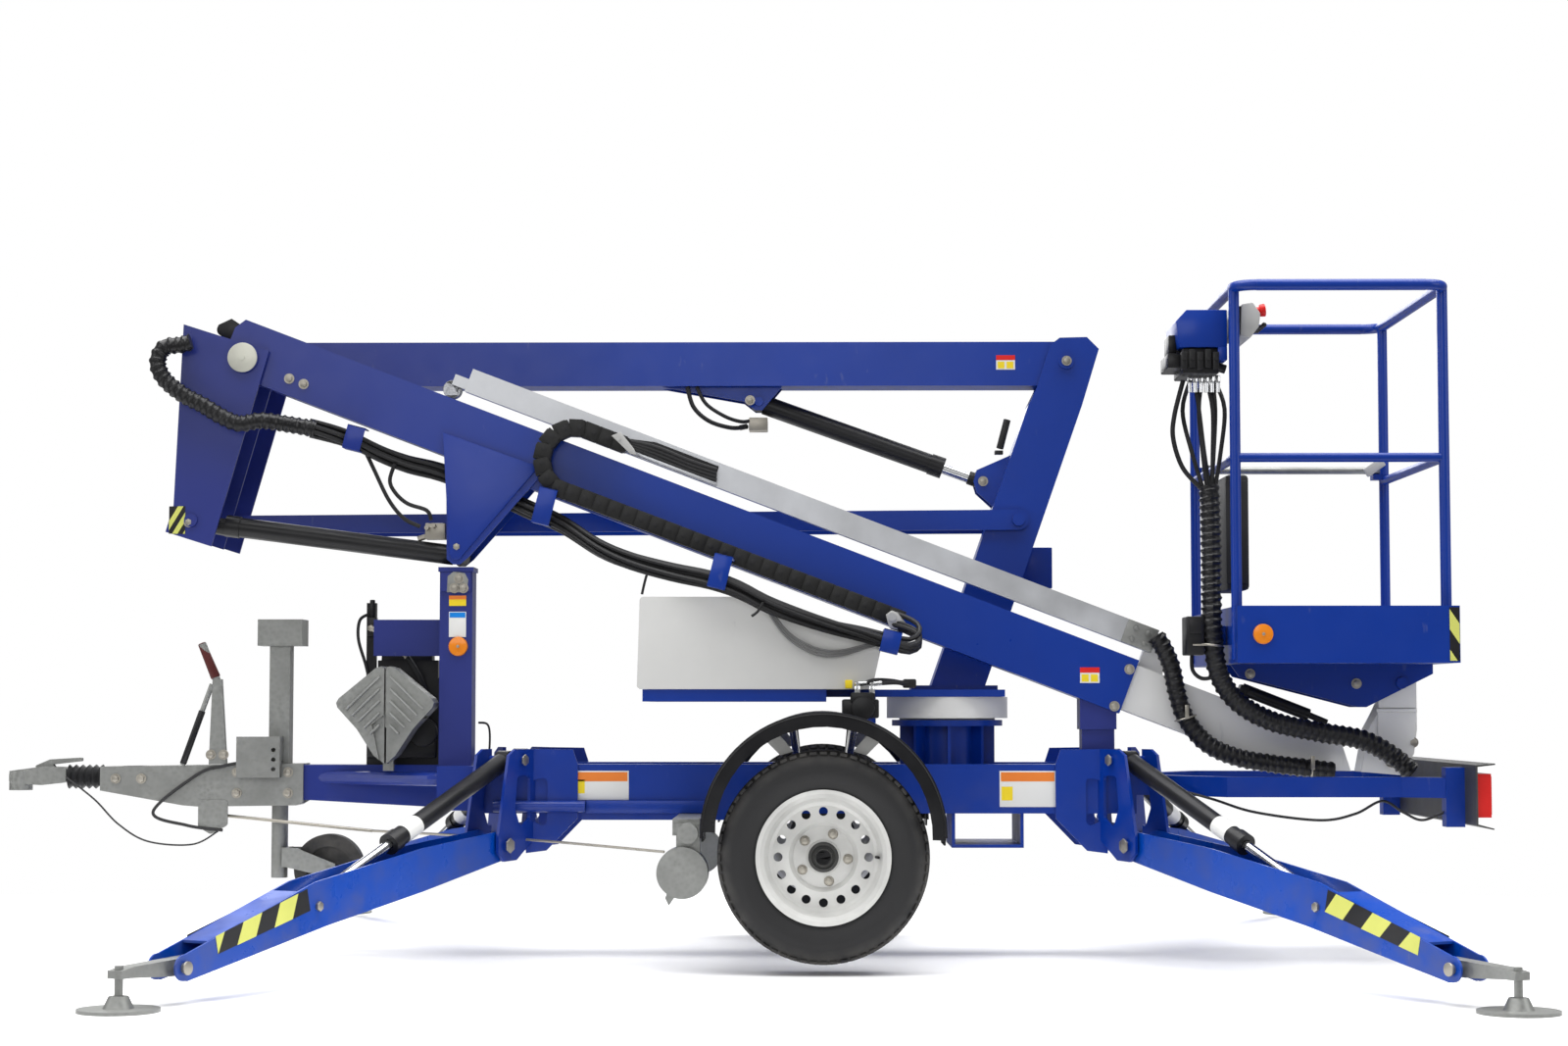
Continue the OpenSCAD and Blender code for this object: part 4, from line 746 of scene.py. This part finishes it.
class SetBolts(LiftOperator):
    """Bolt heads, pin caps and nuts of the joints"""
    bl_idname = "lift.set_bolts"
    bl_label = "Set the Bolts"

    def make(self):
        r = self.sizes.bolt
        groups = {
            "upper_boom": [(1.252, BOOM_NEAR, 0.884), (1.205, BOOM_NEAR, 0.771), (-0.82, -0.2032, 1.262),
                           (-1.345, BOOM_NEAR, 1.785), (-1.3, BOOM_NEAR, 1.768)],
            "knuckle": [(-1.648, -0.212, 1.338)],
            "lower_boom": [(0.08, 0.031, 1.74)],
            "chassis": [(-1.52, -0.06, 0.5), (-1.36, -0.06, 0.5), (-1.36, -0.06, 0.565), (-1.52, -0.06, 0.565),
                        (-1.9, -0.06, 0.545), (-1.82, -0.06, 0.545), (-0.828, -0.188, 1.135), (-0.80, -0.188, 1.135),
                        (-0.814, -0.188, 1.165), (-1.56, -0.072, 0.62), (-1.6, -0.072, 0.62)],
            "turntable": [(1.083, 0.006, 1.862), (0.82, 0.06, 1.484)],
            "cage": [(1.945, -0.206, 0.84), (1.62, -0.206, 0.87)],
            "inner_boom": [(2.12, -0.188, 0.66), (2.05, -0.188, 0.60)],
        }
        for body, places in groups.items():
            heads = Shape()
            for at in places:
                heads.bolt(at, r)
            heads.done(f"bolts_{body}", body, "steel")
        cap = Shape()
        cap.rod((LIFT_TOP.x, -0.220, LIFT_TOP.z), (LIFT_TOP.x, -0.226, LIFT_TOP.z), 0.046, 40, bevel=0.0015)
        cap.rod((LIFT_TOP.x, -0.225, LIFT_TOP.z), (LIFT_TOP.x, -0.229, LIFT_TOP.z), 0.008, 20)
        cap.done("pivot_cap", "knuckle", "disc")
        for corner in CORNERS:
            at = corner_frame(corner)
            caps = Shape()
            for s, z, radius in ((0.0, 0.351, 0.023), (-0.077, 0.607, 0.018)):
                for face in (-1, 1):
                    low = at @ Vector((s, face * 0.0715, z))
                    high = at @ Vector((s, face * 0.078, z))
                    caps.rod(low, high, radius, 6, bevel=0.002)
            caps.done(f"hinge_nuts_{corner}", "chassis", "steel")
            nuts = Shape()
            for face in (-1, 1):
                low, high = at @ Vector((0.88, face * 0.048, 0.222)), at @ Vector((0.88, face * 0.057, 0.222))
                nuts.rod(low, high, 0.014, 6, bevel=0.001)
                low, high = at @ Vector((1.425, face * 0.056, 0.097)), at @ Vector((1.425, face * 0.062, 0.097))
                nuts.rod(low, high, 0.018, 20, bevel=0.001)
            nuts.done(f"leg_nuts_{corner}", f"leg_{corner}", "steel")


class DressChassis(LiftOperator):
    """Engine parts, cables, brake rods and the drawbar's small pieces"""
    bl_idname = "lift.dress_chassis"
    bl_label = "Dress the Chassis"

    def make(self):
        engine = Shape()
        for k in range(9):
            z = 0.70 + k * 0.014
            engine.block((-1.10, -0.036, z), (-0.93, 0.02, z + 0.006), 0.001)
        engine.rod((-1.02, -0.06, 0.80), (-1.02, 0.0, 0.80), 0.055, 32, bevel=0.004)
        engine.rod((-0.94, -0.055, 0.69), (-0.94, 0.0, 0.69), 0.045, 28, bevel=0.004)
        engine.block((-1.115, -0.05, 0.61), (-0.90, -0.01, 0.675), 0.006)
        engine.rod((-1.08, 0.03, 0.915), (-0.92, 0.03, 0.915), 0.035, 24, bevel=0.004)
        engine.done("engine_parts", "chassis", "black")
        valve = Shape()
        valve.block((-1.122, -0.035, 0.99), (-1.092, -0.005, 1.05), 0.002)
        valve.rod((-1.107, -0.02, 1.05), (-1.107, -0.02, 1.105), 0.010, 14, 0.008, bevel=0.002)
        valve.done("engine_valve", "chassis", "black")
        fittings = Shape()
        fittings.rod((-1.107, -0.05, 1.015), (-1.107, -0.03, 1.015), 0.011, 6, bevel=0.001)
        fittings.rod((-1.107, -0.045, 1.015), (-1.065, -0.05, 0.995), 0.008, 12)
        fittings.rod((-1.01, -0.06, 0.945), (-0.99, -0.06, 0.925), 0.010, 12)
        fittings.done("engine_fittings", "chassis", "steel")
        cables = Shape()
        cables.tube([(-1.065, -0.05, 0.995), (-1.03, -0.055, 0.965), (-0.99, -0.06, 0.925), (-0.95, -0.055, 0.86),
                     (-0.93, -0.03, 0.80)], 0.008, 8)
        cables.tube([(-1.118, -0.02, 1.06), (-1.145, -0.03, 1.04), (-1.148, -0.035, 0.98), (-1.125, -0.03, 0.90),
                     (-1.115, -0.02, 0.85)], 0.005, 8)
        cables.tube([(-2.06, -0.045, 0.55), (-1.965, -0.06, 0.48), (-1.888, -0.062, 0.403), (-1.795, -0.06, 0.35),
                     (-1.657, -0.06, 0.341), (-1.577, -0.06, 0.382)], 0.003, 6)
        cables.tube([(-1.501, -0.066, 0.596), (-1.56, -0.072, 0.585), (-1.642, -0.07, 0.558), (-1.779, -0.07, 0.442),
                     (-1.672, -0.068, 0.40), (-1.562, -0.064, 0.385)], 0.005, 8)
        cables.tube([(1.345, -0.27, 0.53), (1.478, -0.36, 0.493), (1.60, -0.40, 0.455), (1.793, -0.40, 0.431),
                     (1.90, -0.40, 0.45), (1.981, -0.40, 0.488), (2.04, -0.42, 0.455), (2.093, -0.45, 0.434),
                     (2.175, -0.47, 0.47)], 0.004, 8)
        cables.tube([(-0.758, -0.12, 0.72), (-0.73, -0.13, 0.715), (-0.722, -0.13, 0.68), (-0.725, -0.13, 0.6)],
                    0.0035, 8)
        cables.done("chassis_cables", "chassis", "cable")
        rods = Shape()
        rods.rod((-1.567, -0.035, 0.43), (-1.089, -0.10, 0.385), 0.005, 10)
        rods.tube([(-1.089, -0.10, 0.385), (-0.6, -0.24, 0.365), (-0.161, -0.5, 0.341)], 0.004, 8, step=0.08)
        rods.done("brake_rods", "chassis", "steel")
        grip = Shape()
        grip.rod((-1.590, -0.06, 0.86), (-1.636, -0.06, 0.968), 0.0155, 20, 0.0125, bevel=0.003)
        grip.done("brake_grip", "chassis", "grip")
        strut = Shape()
        strut.rod((-1.688, -0.066, 0.592), (-1.63, -0.066, 0.756), 0.0105, 18, bevel=0.001)
        strut.done("brake_strut", "chassis", "black")
        clamp = Shape()
        clamp.sheet([(-0.852, 1.122), (-0.79, 1.122), (-0.784, 1.16), (-0.795, 1.182), (-0.83, 1.188), (-0.85, 1.172)],
                    -0.1885, -0.1805, 0.002)
        clamp.done("post_clamp", "chassis", "zinc")
        ribs = Shape()
        for side in (-1, 1):
            for k in range(5):
                drop = 0.026 * k
                low = Vector((-1.032 + side * (0.118 - drop * 0.72), -0.2445, 0.762 - drop * 0.72))
                high = Vector((-1.032 + side * 0.016, -0.2445, 0.862 - drop * 1.42))
                ribs.rod(low, high, 0.0042, 8)
        ribs.done("chock_ribs", "chassis", "zinc")
        lamps = Shape()
        for side in (-1, 1):
            y0, y1 = sorted((side * 0.470, side * 0.630))
            for k in range(3):
                a = y0 + 0.004 + k * 0.0515
                lamps.block((2.2505, a, 0.456), (2.2545, a + 0.049, 0.567), 0.001)
        lamps.done("lamp_lenses", "chassis", "red")
        flange = Shape()
        guard, inner = 0.3505, 0.312
        arc = [math.radians(-2 + 180 * k / 24) for k in range(25)]
        outline = [(WHEEL.x + guard * math.cos(a), 0.4 + guard * math.sin(a)) for a in arc]
        outline += [(WHEEL.x + inner * math.cos(a), 0.4 + inner * math.sin(a)) for a in reversed(arc)]
        for y in (-0.7885, 0.7855):
            flange.sheet(outline, y, y + 0.003, 0)
        flange.done("guard_flanges", "chassis", "gloss")
        stays = Shape()
        for side in (-1, 1):
            for lean in (-1, 1):
                corners = (0.187, 0.355), (0.146, 0.374), (0.086, 0.304), (0.124, 0.292)
                bar = [(lean * x + WHEEL.x, z + WHEEL.z) for x, z in corners]
                stays.sheet(bar, side * 0.71 - 0.003, side * 0.71 + 0.003)
        stays.done("guard_stays", "chassis", "panel")
        side = Shape().rod((-0.70, -0.219, 0.465), (-0.418, -0.219, 0.465), 0.0175, 24)
        side.block((-0.418, -0.214, 0.4435), (-0.02, -0.2, 0.483), 0.003)
        side.done("side_tube", "chassis", "blue")
        edge = Shape()
        for side in (-1, 1):
            for y in (-0.105, 0.103):
                points = []
                for k in range(25):
                    angle = math.radians(-1 + 182 * k / 24)
                    points.append((WHEEL.x + guard * math.cos(angle), side * 0.682 + y,
                                   0.4 + guard * math.sin(angle)))
                edge.tube(points, 0.0045, 8, step=0.04)
        edge.done("guard_lips", "chassis", "gloss")


class DressBooms(LiftOperator):
    """Valves, hoses, handle, straps and small pieces of the booms and turntable"""
    bl_idname = "lift.dress_booms"
    bl_label = "Dress the Booms"

    def make(self):
        straps = Shape()
        for x, z, tall, near in ((-1.122, 1.630, 0.072, 0.27), (-0.530, 1.438, 0.110, 0.27),
                                 (0.013, 1.224, 0.100, 0.436), (0.522, 0.998, 0.066, 0.424)):
            turn = Matrix.Translation((x, 0, z)) @ Matrix.Rotation(math.radians(14), 4, "Y")
            straps.block((-0.028, -near, -tall), (0.028, 0.004 - near, 0), 0.001, turn)
            straps.block((-0.028, -near, -0.004), (0.028, BOOM_NEAR - 0.001, 0), 0.001, turn)
            straps.block((-0.028, -near, -tall - 0.003), (0.028, 0.07 - near, -tall), 0.001, turn)
        straps.done("hose_straps", "upper_boom", "blue")
        valves = Shape()
        valves.block((-0.925, -0.155, 1.288), (-0.862, -0.105, 1.338), 0.003)
        valves.rod((-0.92, -0.13, 1.30), (-0.95, -0.13, 1.29), 0.009, 6)
        for x, z in ((-0.917, 1.322), (-0.896, 1.33)):
            valves.rod((x, -0.155, z), (x, -0.182, z), 0.0075, 6)
        valves.done("luff_valve", "luff_barrel", "steel")
        lift = Shape()
        lift.block((0.075, 0.075, 1.648), (0.135, 0.145, 1.69), 0.003)
        lift.rod((0.07, 0.11, 1.665), (0.045, 0.11, 1.66), 0.009, 6)
        lift.done("lift_valve", "lift_barrel", "steel")
        loops = Shape()
        loops.tube([(-0.12, 0.05, 1.785), (-0.10, 0.045, 1.72), (-0.05, 0.045, 1.675), (0.02, 0.06, 1.655),
                    (0.07, 0.09, 1.662)], 0.007, 8)
        loops.tube([(-0.09, 0.05, 1.785), (-0.06, 0.045, 1.73), (0.0, 0.045, 1.69), (0.05, 0.06, 1.675),
                    (0.08, 0.085, 1.68)], 0.006, 8)
        loops.done("lift_hoses", "lower_boom", "hose")
        handle = Shape()
        handle.rod((0.868, -0.022, 1.58), (0.892, -0.022, 1.672), 0.0115, 16, bevel=0.002)
        handle.block((0.852, -0.034, 1.562), (0.878, -0.004, 1.574), 0.001)
        handle.done("pump_lever", "turntable", "black")
        motor = Shape()
        motor.rod((0.43, -0.415, 0.765), (0.43, -0.2, 0.765), 0.036, 28, bevel=0.006)
        motor.block((0.368, -0.40, 0.735), (0.478, -0.2, 0.792), 0.006)
        motor.block((0.392, -0.41, 0.78), (0.466, -0.376, 0.812), 0.006)
        motor.done("slew_motor", "turntable", "black")
        elbows = Shape()
        for x in (0.413, 0.457):
            elbows.rod((x, -0.393, 0.808), (x, -0.393, 0.832), 0.010, 6, bevel=0.001)
            elbows.rod((x, -0.393, 0.830), (x, -0.393, 0.843), 0.008, 14)
            elbows.rod((x - 0.006, -0.393, 0.838), (x + 0.03, -0.393, 0.841), 0.0075, 12)
        elbows.done("motor_elbows", "turntable", "chrome")
        Shape().block((0.376, OVER_COVER, 0.824), (0.398, -0.378, 0.850), 0.003).done("motor_tap", "turntable", "amber")
        lines = Shape()
        lines.tube([(0.44, -0.393, 0.841), (0.47, -0.39, 0.848), (0.52, -0.36, 0.846), (0.56, -0.32, 0.838)], 0.0075, 8)
        lines.tube([(0.486, -0.393, 0.841), (0.53, -0.37, 0.843), (0.575, -0.33, 0.838)], 0.0075, 8)
        lines.block((0.552, -0.345, 0.826), (0.592, -0.30, 0.853), 0.005)
        lines.done("motor_lines", "turntable", "hose")
        Shape().block((0.94, 0.232, 1.15), (1.052, 0.33, 1.283), 0.003).done("rear_box", "turntable", "blue")
        gusset = Shape().sheet([(-0.865, 1.616), (-0.567, 1.509), (-0.797, 1.240), (-0.806, 1.226), (-0.822, 1.220),
                                (-0.836, 1.226), (-0.842, 1.240)], -0.2092, -0.2035)
        gusset.done("luff_gusset", "upper_boom", "blue")
        pulley = Shape().rod((-1.557, -0.17, 1.942), (-1.557, -0.10, 1.942), 0.021, 24, bevel=0.002)
        pulley.sheet([(-1.572, 1.955), (-1.53, 1.975), (-1.50, 1.955), (-1.52, 1.905), (-1.56, 1.92)], -0.18, -0.171)
        pulley.done("hose_pulley", "upper_boom", "black")
        grey = Shape()
        for k in range(3):
            d = 0.009 * k
            grey.tube([(0.125, -0.405, 1.10), (0.16, -0.39, 1.048 - d), (0.215, -0.383, 0.985 - d),
                       (0.29, -0.382, 0.945 - d), (0.36, -0.382, 0.938 - d * 0.8), (0.44, -0.384, 0.955 - d * 0.5),
                       (0.50, -0.386, 0.962)], 0.0042, 6)
        grey.done("rest_cables", "upper_boom", "grey_cable")
        for name, body, pin, far, radius in (("luff", "luff_rod", (-1.641, -0.13, 1.344), (-1.545, -0.13, 1.326), 0.027),
                                             ("lift", "lift_rod", (0.82, 0.11, 1.484), (0.775, 0.11, 1.50), 0.022)):
            Shape().rod(pin, far, radius, 24, bevel=0.003).done(f"{name}_rod_eye", body, "black")
        roller = Shape()
        at = on_slope(0.636, -0.165, 0.1423)
        for y in (-0.174, -0.142):
            roller.rod((at.x, y, at.z), (at.x, y + 0.004, at.z), 0.0285, 30, bevel=0.001)
        roller.done("rail_roller", "inner_boom", "zinc")
        ends = Shape()
        turn = slope_turn(2.946, 0, 0.187)
        ends.block((-0.10, -0.1945, -0.037), (0.0, -0.1905, 0.037), 0.002, turn)
        for x, n in ((-0.07, 0.018), (-0.03, -0.018), (-0.07, -0.018), (-0.03, 0.018)):
            ends.bolt(turn @ Vector((x, -0.1945, n)), 0.007)
        ends.done("rail_end", "inner_boom", "zinc")
        fold = Shape().block((2.014, -0.1945, 0.766), (2.131, -0.1885, 0.852), 0.0015)
        fold.block((2.008, -0.1965, 0.752), (2.1315, -0.1885, 0.763), 0.002)
        fold.sheet([(2.012, 0.752), (2.130, 0.752), (2.119, 0.63), (2.082, 0.575), (2.012, 0.668)], -0.194, -0.1885,
                   0.0015)
        fold.done("end_bracket_faces", "inner_boom", "white")
        level = Shape()
        level.rod(on_slope(3.25, -0.155, 0.148), on_slope(3.47, -0.155, 0.146), 0.019, 20, bevel=0.002)
        level.rod(on_slope(3.47, -0.155, 0.146), on_slope(3.53, -0.155, 0.144), 0.010, 16)
        level.block((-0.014, -0.022, -0.03), (0.014, 0.022, 0.02), 0.003, slope_turn(3.254, -0.155, 0.140))
        level.done("level_cylinder", "inner_boom", "black")


class DressCage(LiftOperator):
    """Console, valve block, document box, load sensor and latch of the cage"""
    bl_idname = "lift.dress_cage"
    bl_label = "Dress the Cage"

    def make(self):
        box = Shape()
        box.sheet([(1.374, 1.928), (1.406, 1.963), (1.528, 1.963), (1.528, 1.850), (1.385, 1.850)], -0.43, -0.18, 0.003)
        box.block((1.50, -0.4295, 1.81), (1.528, -0.19, 1.852), 0.003)
        box.done("console_box", "cage", "blue", ["console"])
        panel = Shape().sheet([(1.572, 1.980), (1.606, 1.986), (1.629, 1.952), (1.624, 1.912), (1.597, 1.877),
                               (1.568, 1.885)], -0.43, -0.18, 0.004)
        panel.done("control_panel", "cage", "panel")
        Shape().block((1.545, -0.425, 1.89), (1.573, -0.19, 1.975), 0.003).done("panel_back", "cage", "black")
        knob = Shape()
        knob.rod((1.62, -0.37, 1.966), (1.637, -0.37, 1.968), 0.012, 20)
        knob.rod((1.635, -0.37, 1.968), (1.652, -0.37, 1.97), 0.0185, 24, 0.020, bevel=0.003)
        knob.done("stop_knob", "cage", "stop")
        levers = Shape()
        for k in range(4):
            y = -0.36 + 0.045 * k
            levers.rod((1.622, y, 1.915), (1.648, y, 1.925), 0.005, 12, bevel=0.001)
            levers.ball((1.650, y, 1.926), 0.008)
        levers.done("panel_levers", "cage", "black")
        banks = Shape()
        banks.block((1.395, -0.415, 1.772), (1.505, -0.20, 1.8495), 0.004)
        banks.block((1.352, -0.40, 1.79), (1.40, -0.22, 1.835), 0.004)
        banks.block((1.36, -0.36, 1.84), (1.384, -0.25, 1.895), 0.003)
        for k in range(5):
            x = 1.388 + 0.024 * k
            banks.block((x, -0.432, 1.782 + 0.006 * (k % 2)), (x + 0.019, -0.416, 1.836 + 0.008 * (k % 2)), 0.003)
            banks.rod((x + 0.0095, -0.44, 1.815), (x + 0.0095, -0.43, 1.815), 0.006, 6)
        banks.rod((1.50, -0.36, 1.80), (1.532, -0.36, 1.79), 0.014, 16, bevel=0.002)
        banks.done("valve_bank", "cage", "black")
        case = Shape().block((1.5625, -0.12, 1.13), (1.635, 0.15, 1.49), 0.012)
        case.block((1.5625, -0.126, 1.15), (1.628, -0.12, 1.47), 0.002)
        case.done("document_box", "cage", "cable")
        sensor = Shape().block((1.408, -0.35, 0.925), (1.462, -0.24, 1.042), 0.004)
        sensor.block((1.415, -0.356, 0.99), (1.455, -0.349, 1.035), 0.002)
        sensor.tube([(1.43, -0.30, 0.93), (1.432, -0.30, 0.88), (1.46, -0.30, 0.855), (1.50, -0.31, 0.86)], 0.006, 8)
        sensor.done("load_sensor", "cage", "black")
        Shape().block((1.46, -0.31, 0.955), (1.5325, -0.25, 1.015), 0.003).done("sensor_arm", "cage", "blue")
        latch = Shape().block((-0.035, -0.012, -0.016), (0.035, 0.012, 0.016), 0.004,
                              Matrix.Translation((2.128, 0.405, 1.556)) @ Matrix.Rotation(math.radians(-35), 4, "Y"))
        latch.done("gate_latch", "cage", "panel")


class LayStage(LiftOperator):
    """Floor, lights, white surroundings and the camera of the photograph"""
    bl_idname = "lift.lay_stage"
    bl_label = "Lay the Stage"

    def make(self):
        scene = bpy.context.scene
        half = self.sizes.floor
        bm = bmesh.new()
        bmesh.ops.create_grid(bm, x_segments=1, y_segments=1, size=half)
        mesh = bpy.data.meshes.new("studio_floor")
        bm.to_mesh(mesh)
        bm.free()
        floor = bpy.data.objects.new("studio_floor", mesh)
        scene.collection.objects.link(floor)
        pale = Finish("floor_white", Roughness=0.6, Specular_IOR_Level=0.25, Base_Color=(0.93, 0.93, 0.93, 1))
        away = (pale.place("X") ** 2.0 * 0.45 + pale.place("Y") ** 2.0) ** 0.5
        pale.feed(Alpha=1.0 - away.band(1.6, 3.4))
        mesh.materials.append(pale.material)
        world = bpy.data.worlds.new("studio")
        scene.world = world
        world.use_nodes = True
        sky = Nodes(world.node_tree)
        soft, clear = (sky.node("ShaderNodeBackground", {0: (1, 1, 1, 1), 1: strength}) for strength in (0.3, 1.0))
        seen = sky.node("ShaderNodeLightPath", out="Is Camera Ray")
        sky.node("ShaderNodeOutputWorld", {0: sky.node("ShaderNodeMixShader", {0: seen, 1: soft, 2: clear})})
        for name, at, aim, size, power in (
                ("overhead", (0.2, -0.2, 13.5), (0.2, 0, 0.5), (23, 14.4), 5300),
                ("front", (-1.5, -8.0, 3.6), (0, 0, 0.8), (6, 3), 110),
                ("left", (-6.5, -2.5, 2.8), (-1, 0, 0.8), (3, 3), 70),
                ("right", (6.5, -3.0, 2.8), (1, 0, 0.8), (3, 3), 60),
                ("back", (0, 5.5, 3.5), (0, 0, 0.8), (7, 2.5), 160)):
            lamp = bpy.data.lights.new(name, "AREA")
            lamp.shape, lamp.size, lamp.size_y, lamp.energy = "RECTANGLE", size[0], size[1], power
            holder = bpy.data.objects.new(name, lamp)
            holder.location = at
            holder.visible_camera = False
            holder.rotation_euler = (Vector(aim) - Vector(at)).to_track_quat("-Z", "Y").to_euler()
            scene.collection.objects.link(holder)
        lens = bpy.data.cameras.new("photo_camera")
        lens.lens, lens.sensor_width, lens.clip_end = 65.25, 36.0, 100.0
        camera = bpy.data.objects.new("photo_camera", lens)
        camera.location = (0.29, -8.95, 0.774)
        camera.rotation_euler = (math.radians(93.667), 0, math.radians(0.652))
        scene.collection.objects.link(camera)
        scene.camera = camera
        scene.view_settings.view_transform = "Standard"
        scene.view_settings.look = "None"


class LiftPanel(bpy.types.Panel):
    """Lists the lift's colours, sizes and operators"""
    bl_label = "Boom Lift"
    bl_idname = "VIEW3D_PT_boom_lift"
    bl_space_type = "VIEW_3D"
    bl_region_type = "UI"
    bl_category = "Boom Lift"

    def draw(self, context):
        for group in (context.scene.lift_finish, context.scene.lift_sizes):
            for key in group.__annotations__:
                self.layout.prop(group, key)
        for operator in OPERATORS:
            self.layout.operator(operator.bl_idname)


OPERATORS = (PaintSolids, FitTyres, LinkChain, RunHoses, StickFilms, SetBolts, DressChassis, DressBooms, DressCage,
             LayStage)
CLASSES = (LiftFinish, LiftSizes, *OPERATORS, LiftPanel)


def register():
    for cls in CLASSES:
        bpy.utils.register_class(cls)
    bpy.types.Scene.lift_finish = PointerProperty(type=LiftFinish)
    bpy.types.Scene.lift_sizes = PointerProperty(type=LiftSizes)


def unregister():
    del bpy.types.Scene.lift_finish
    del bpy.types.Scene.lift_sizes
    for cls in reversed(CLASSES):
        bpy.utils.unregister_class(cls)


def main():
    register()
    for operator in OPERATORS:
        group, name = operator.bl_idname.split(".")
        getattr(getattr(bpy.ops, group), name)()
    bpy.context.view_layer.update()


if __name__ == "__main__":
    main()
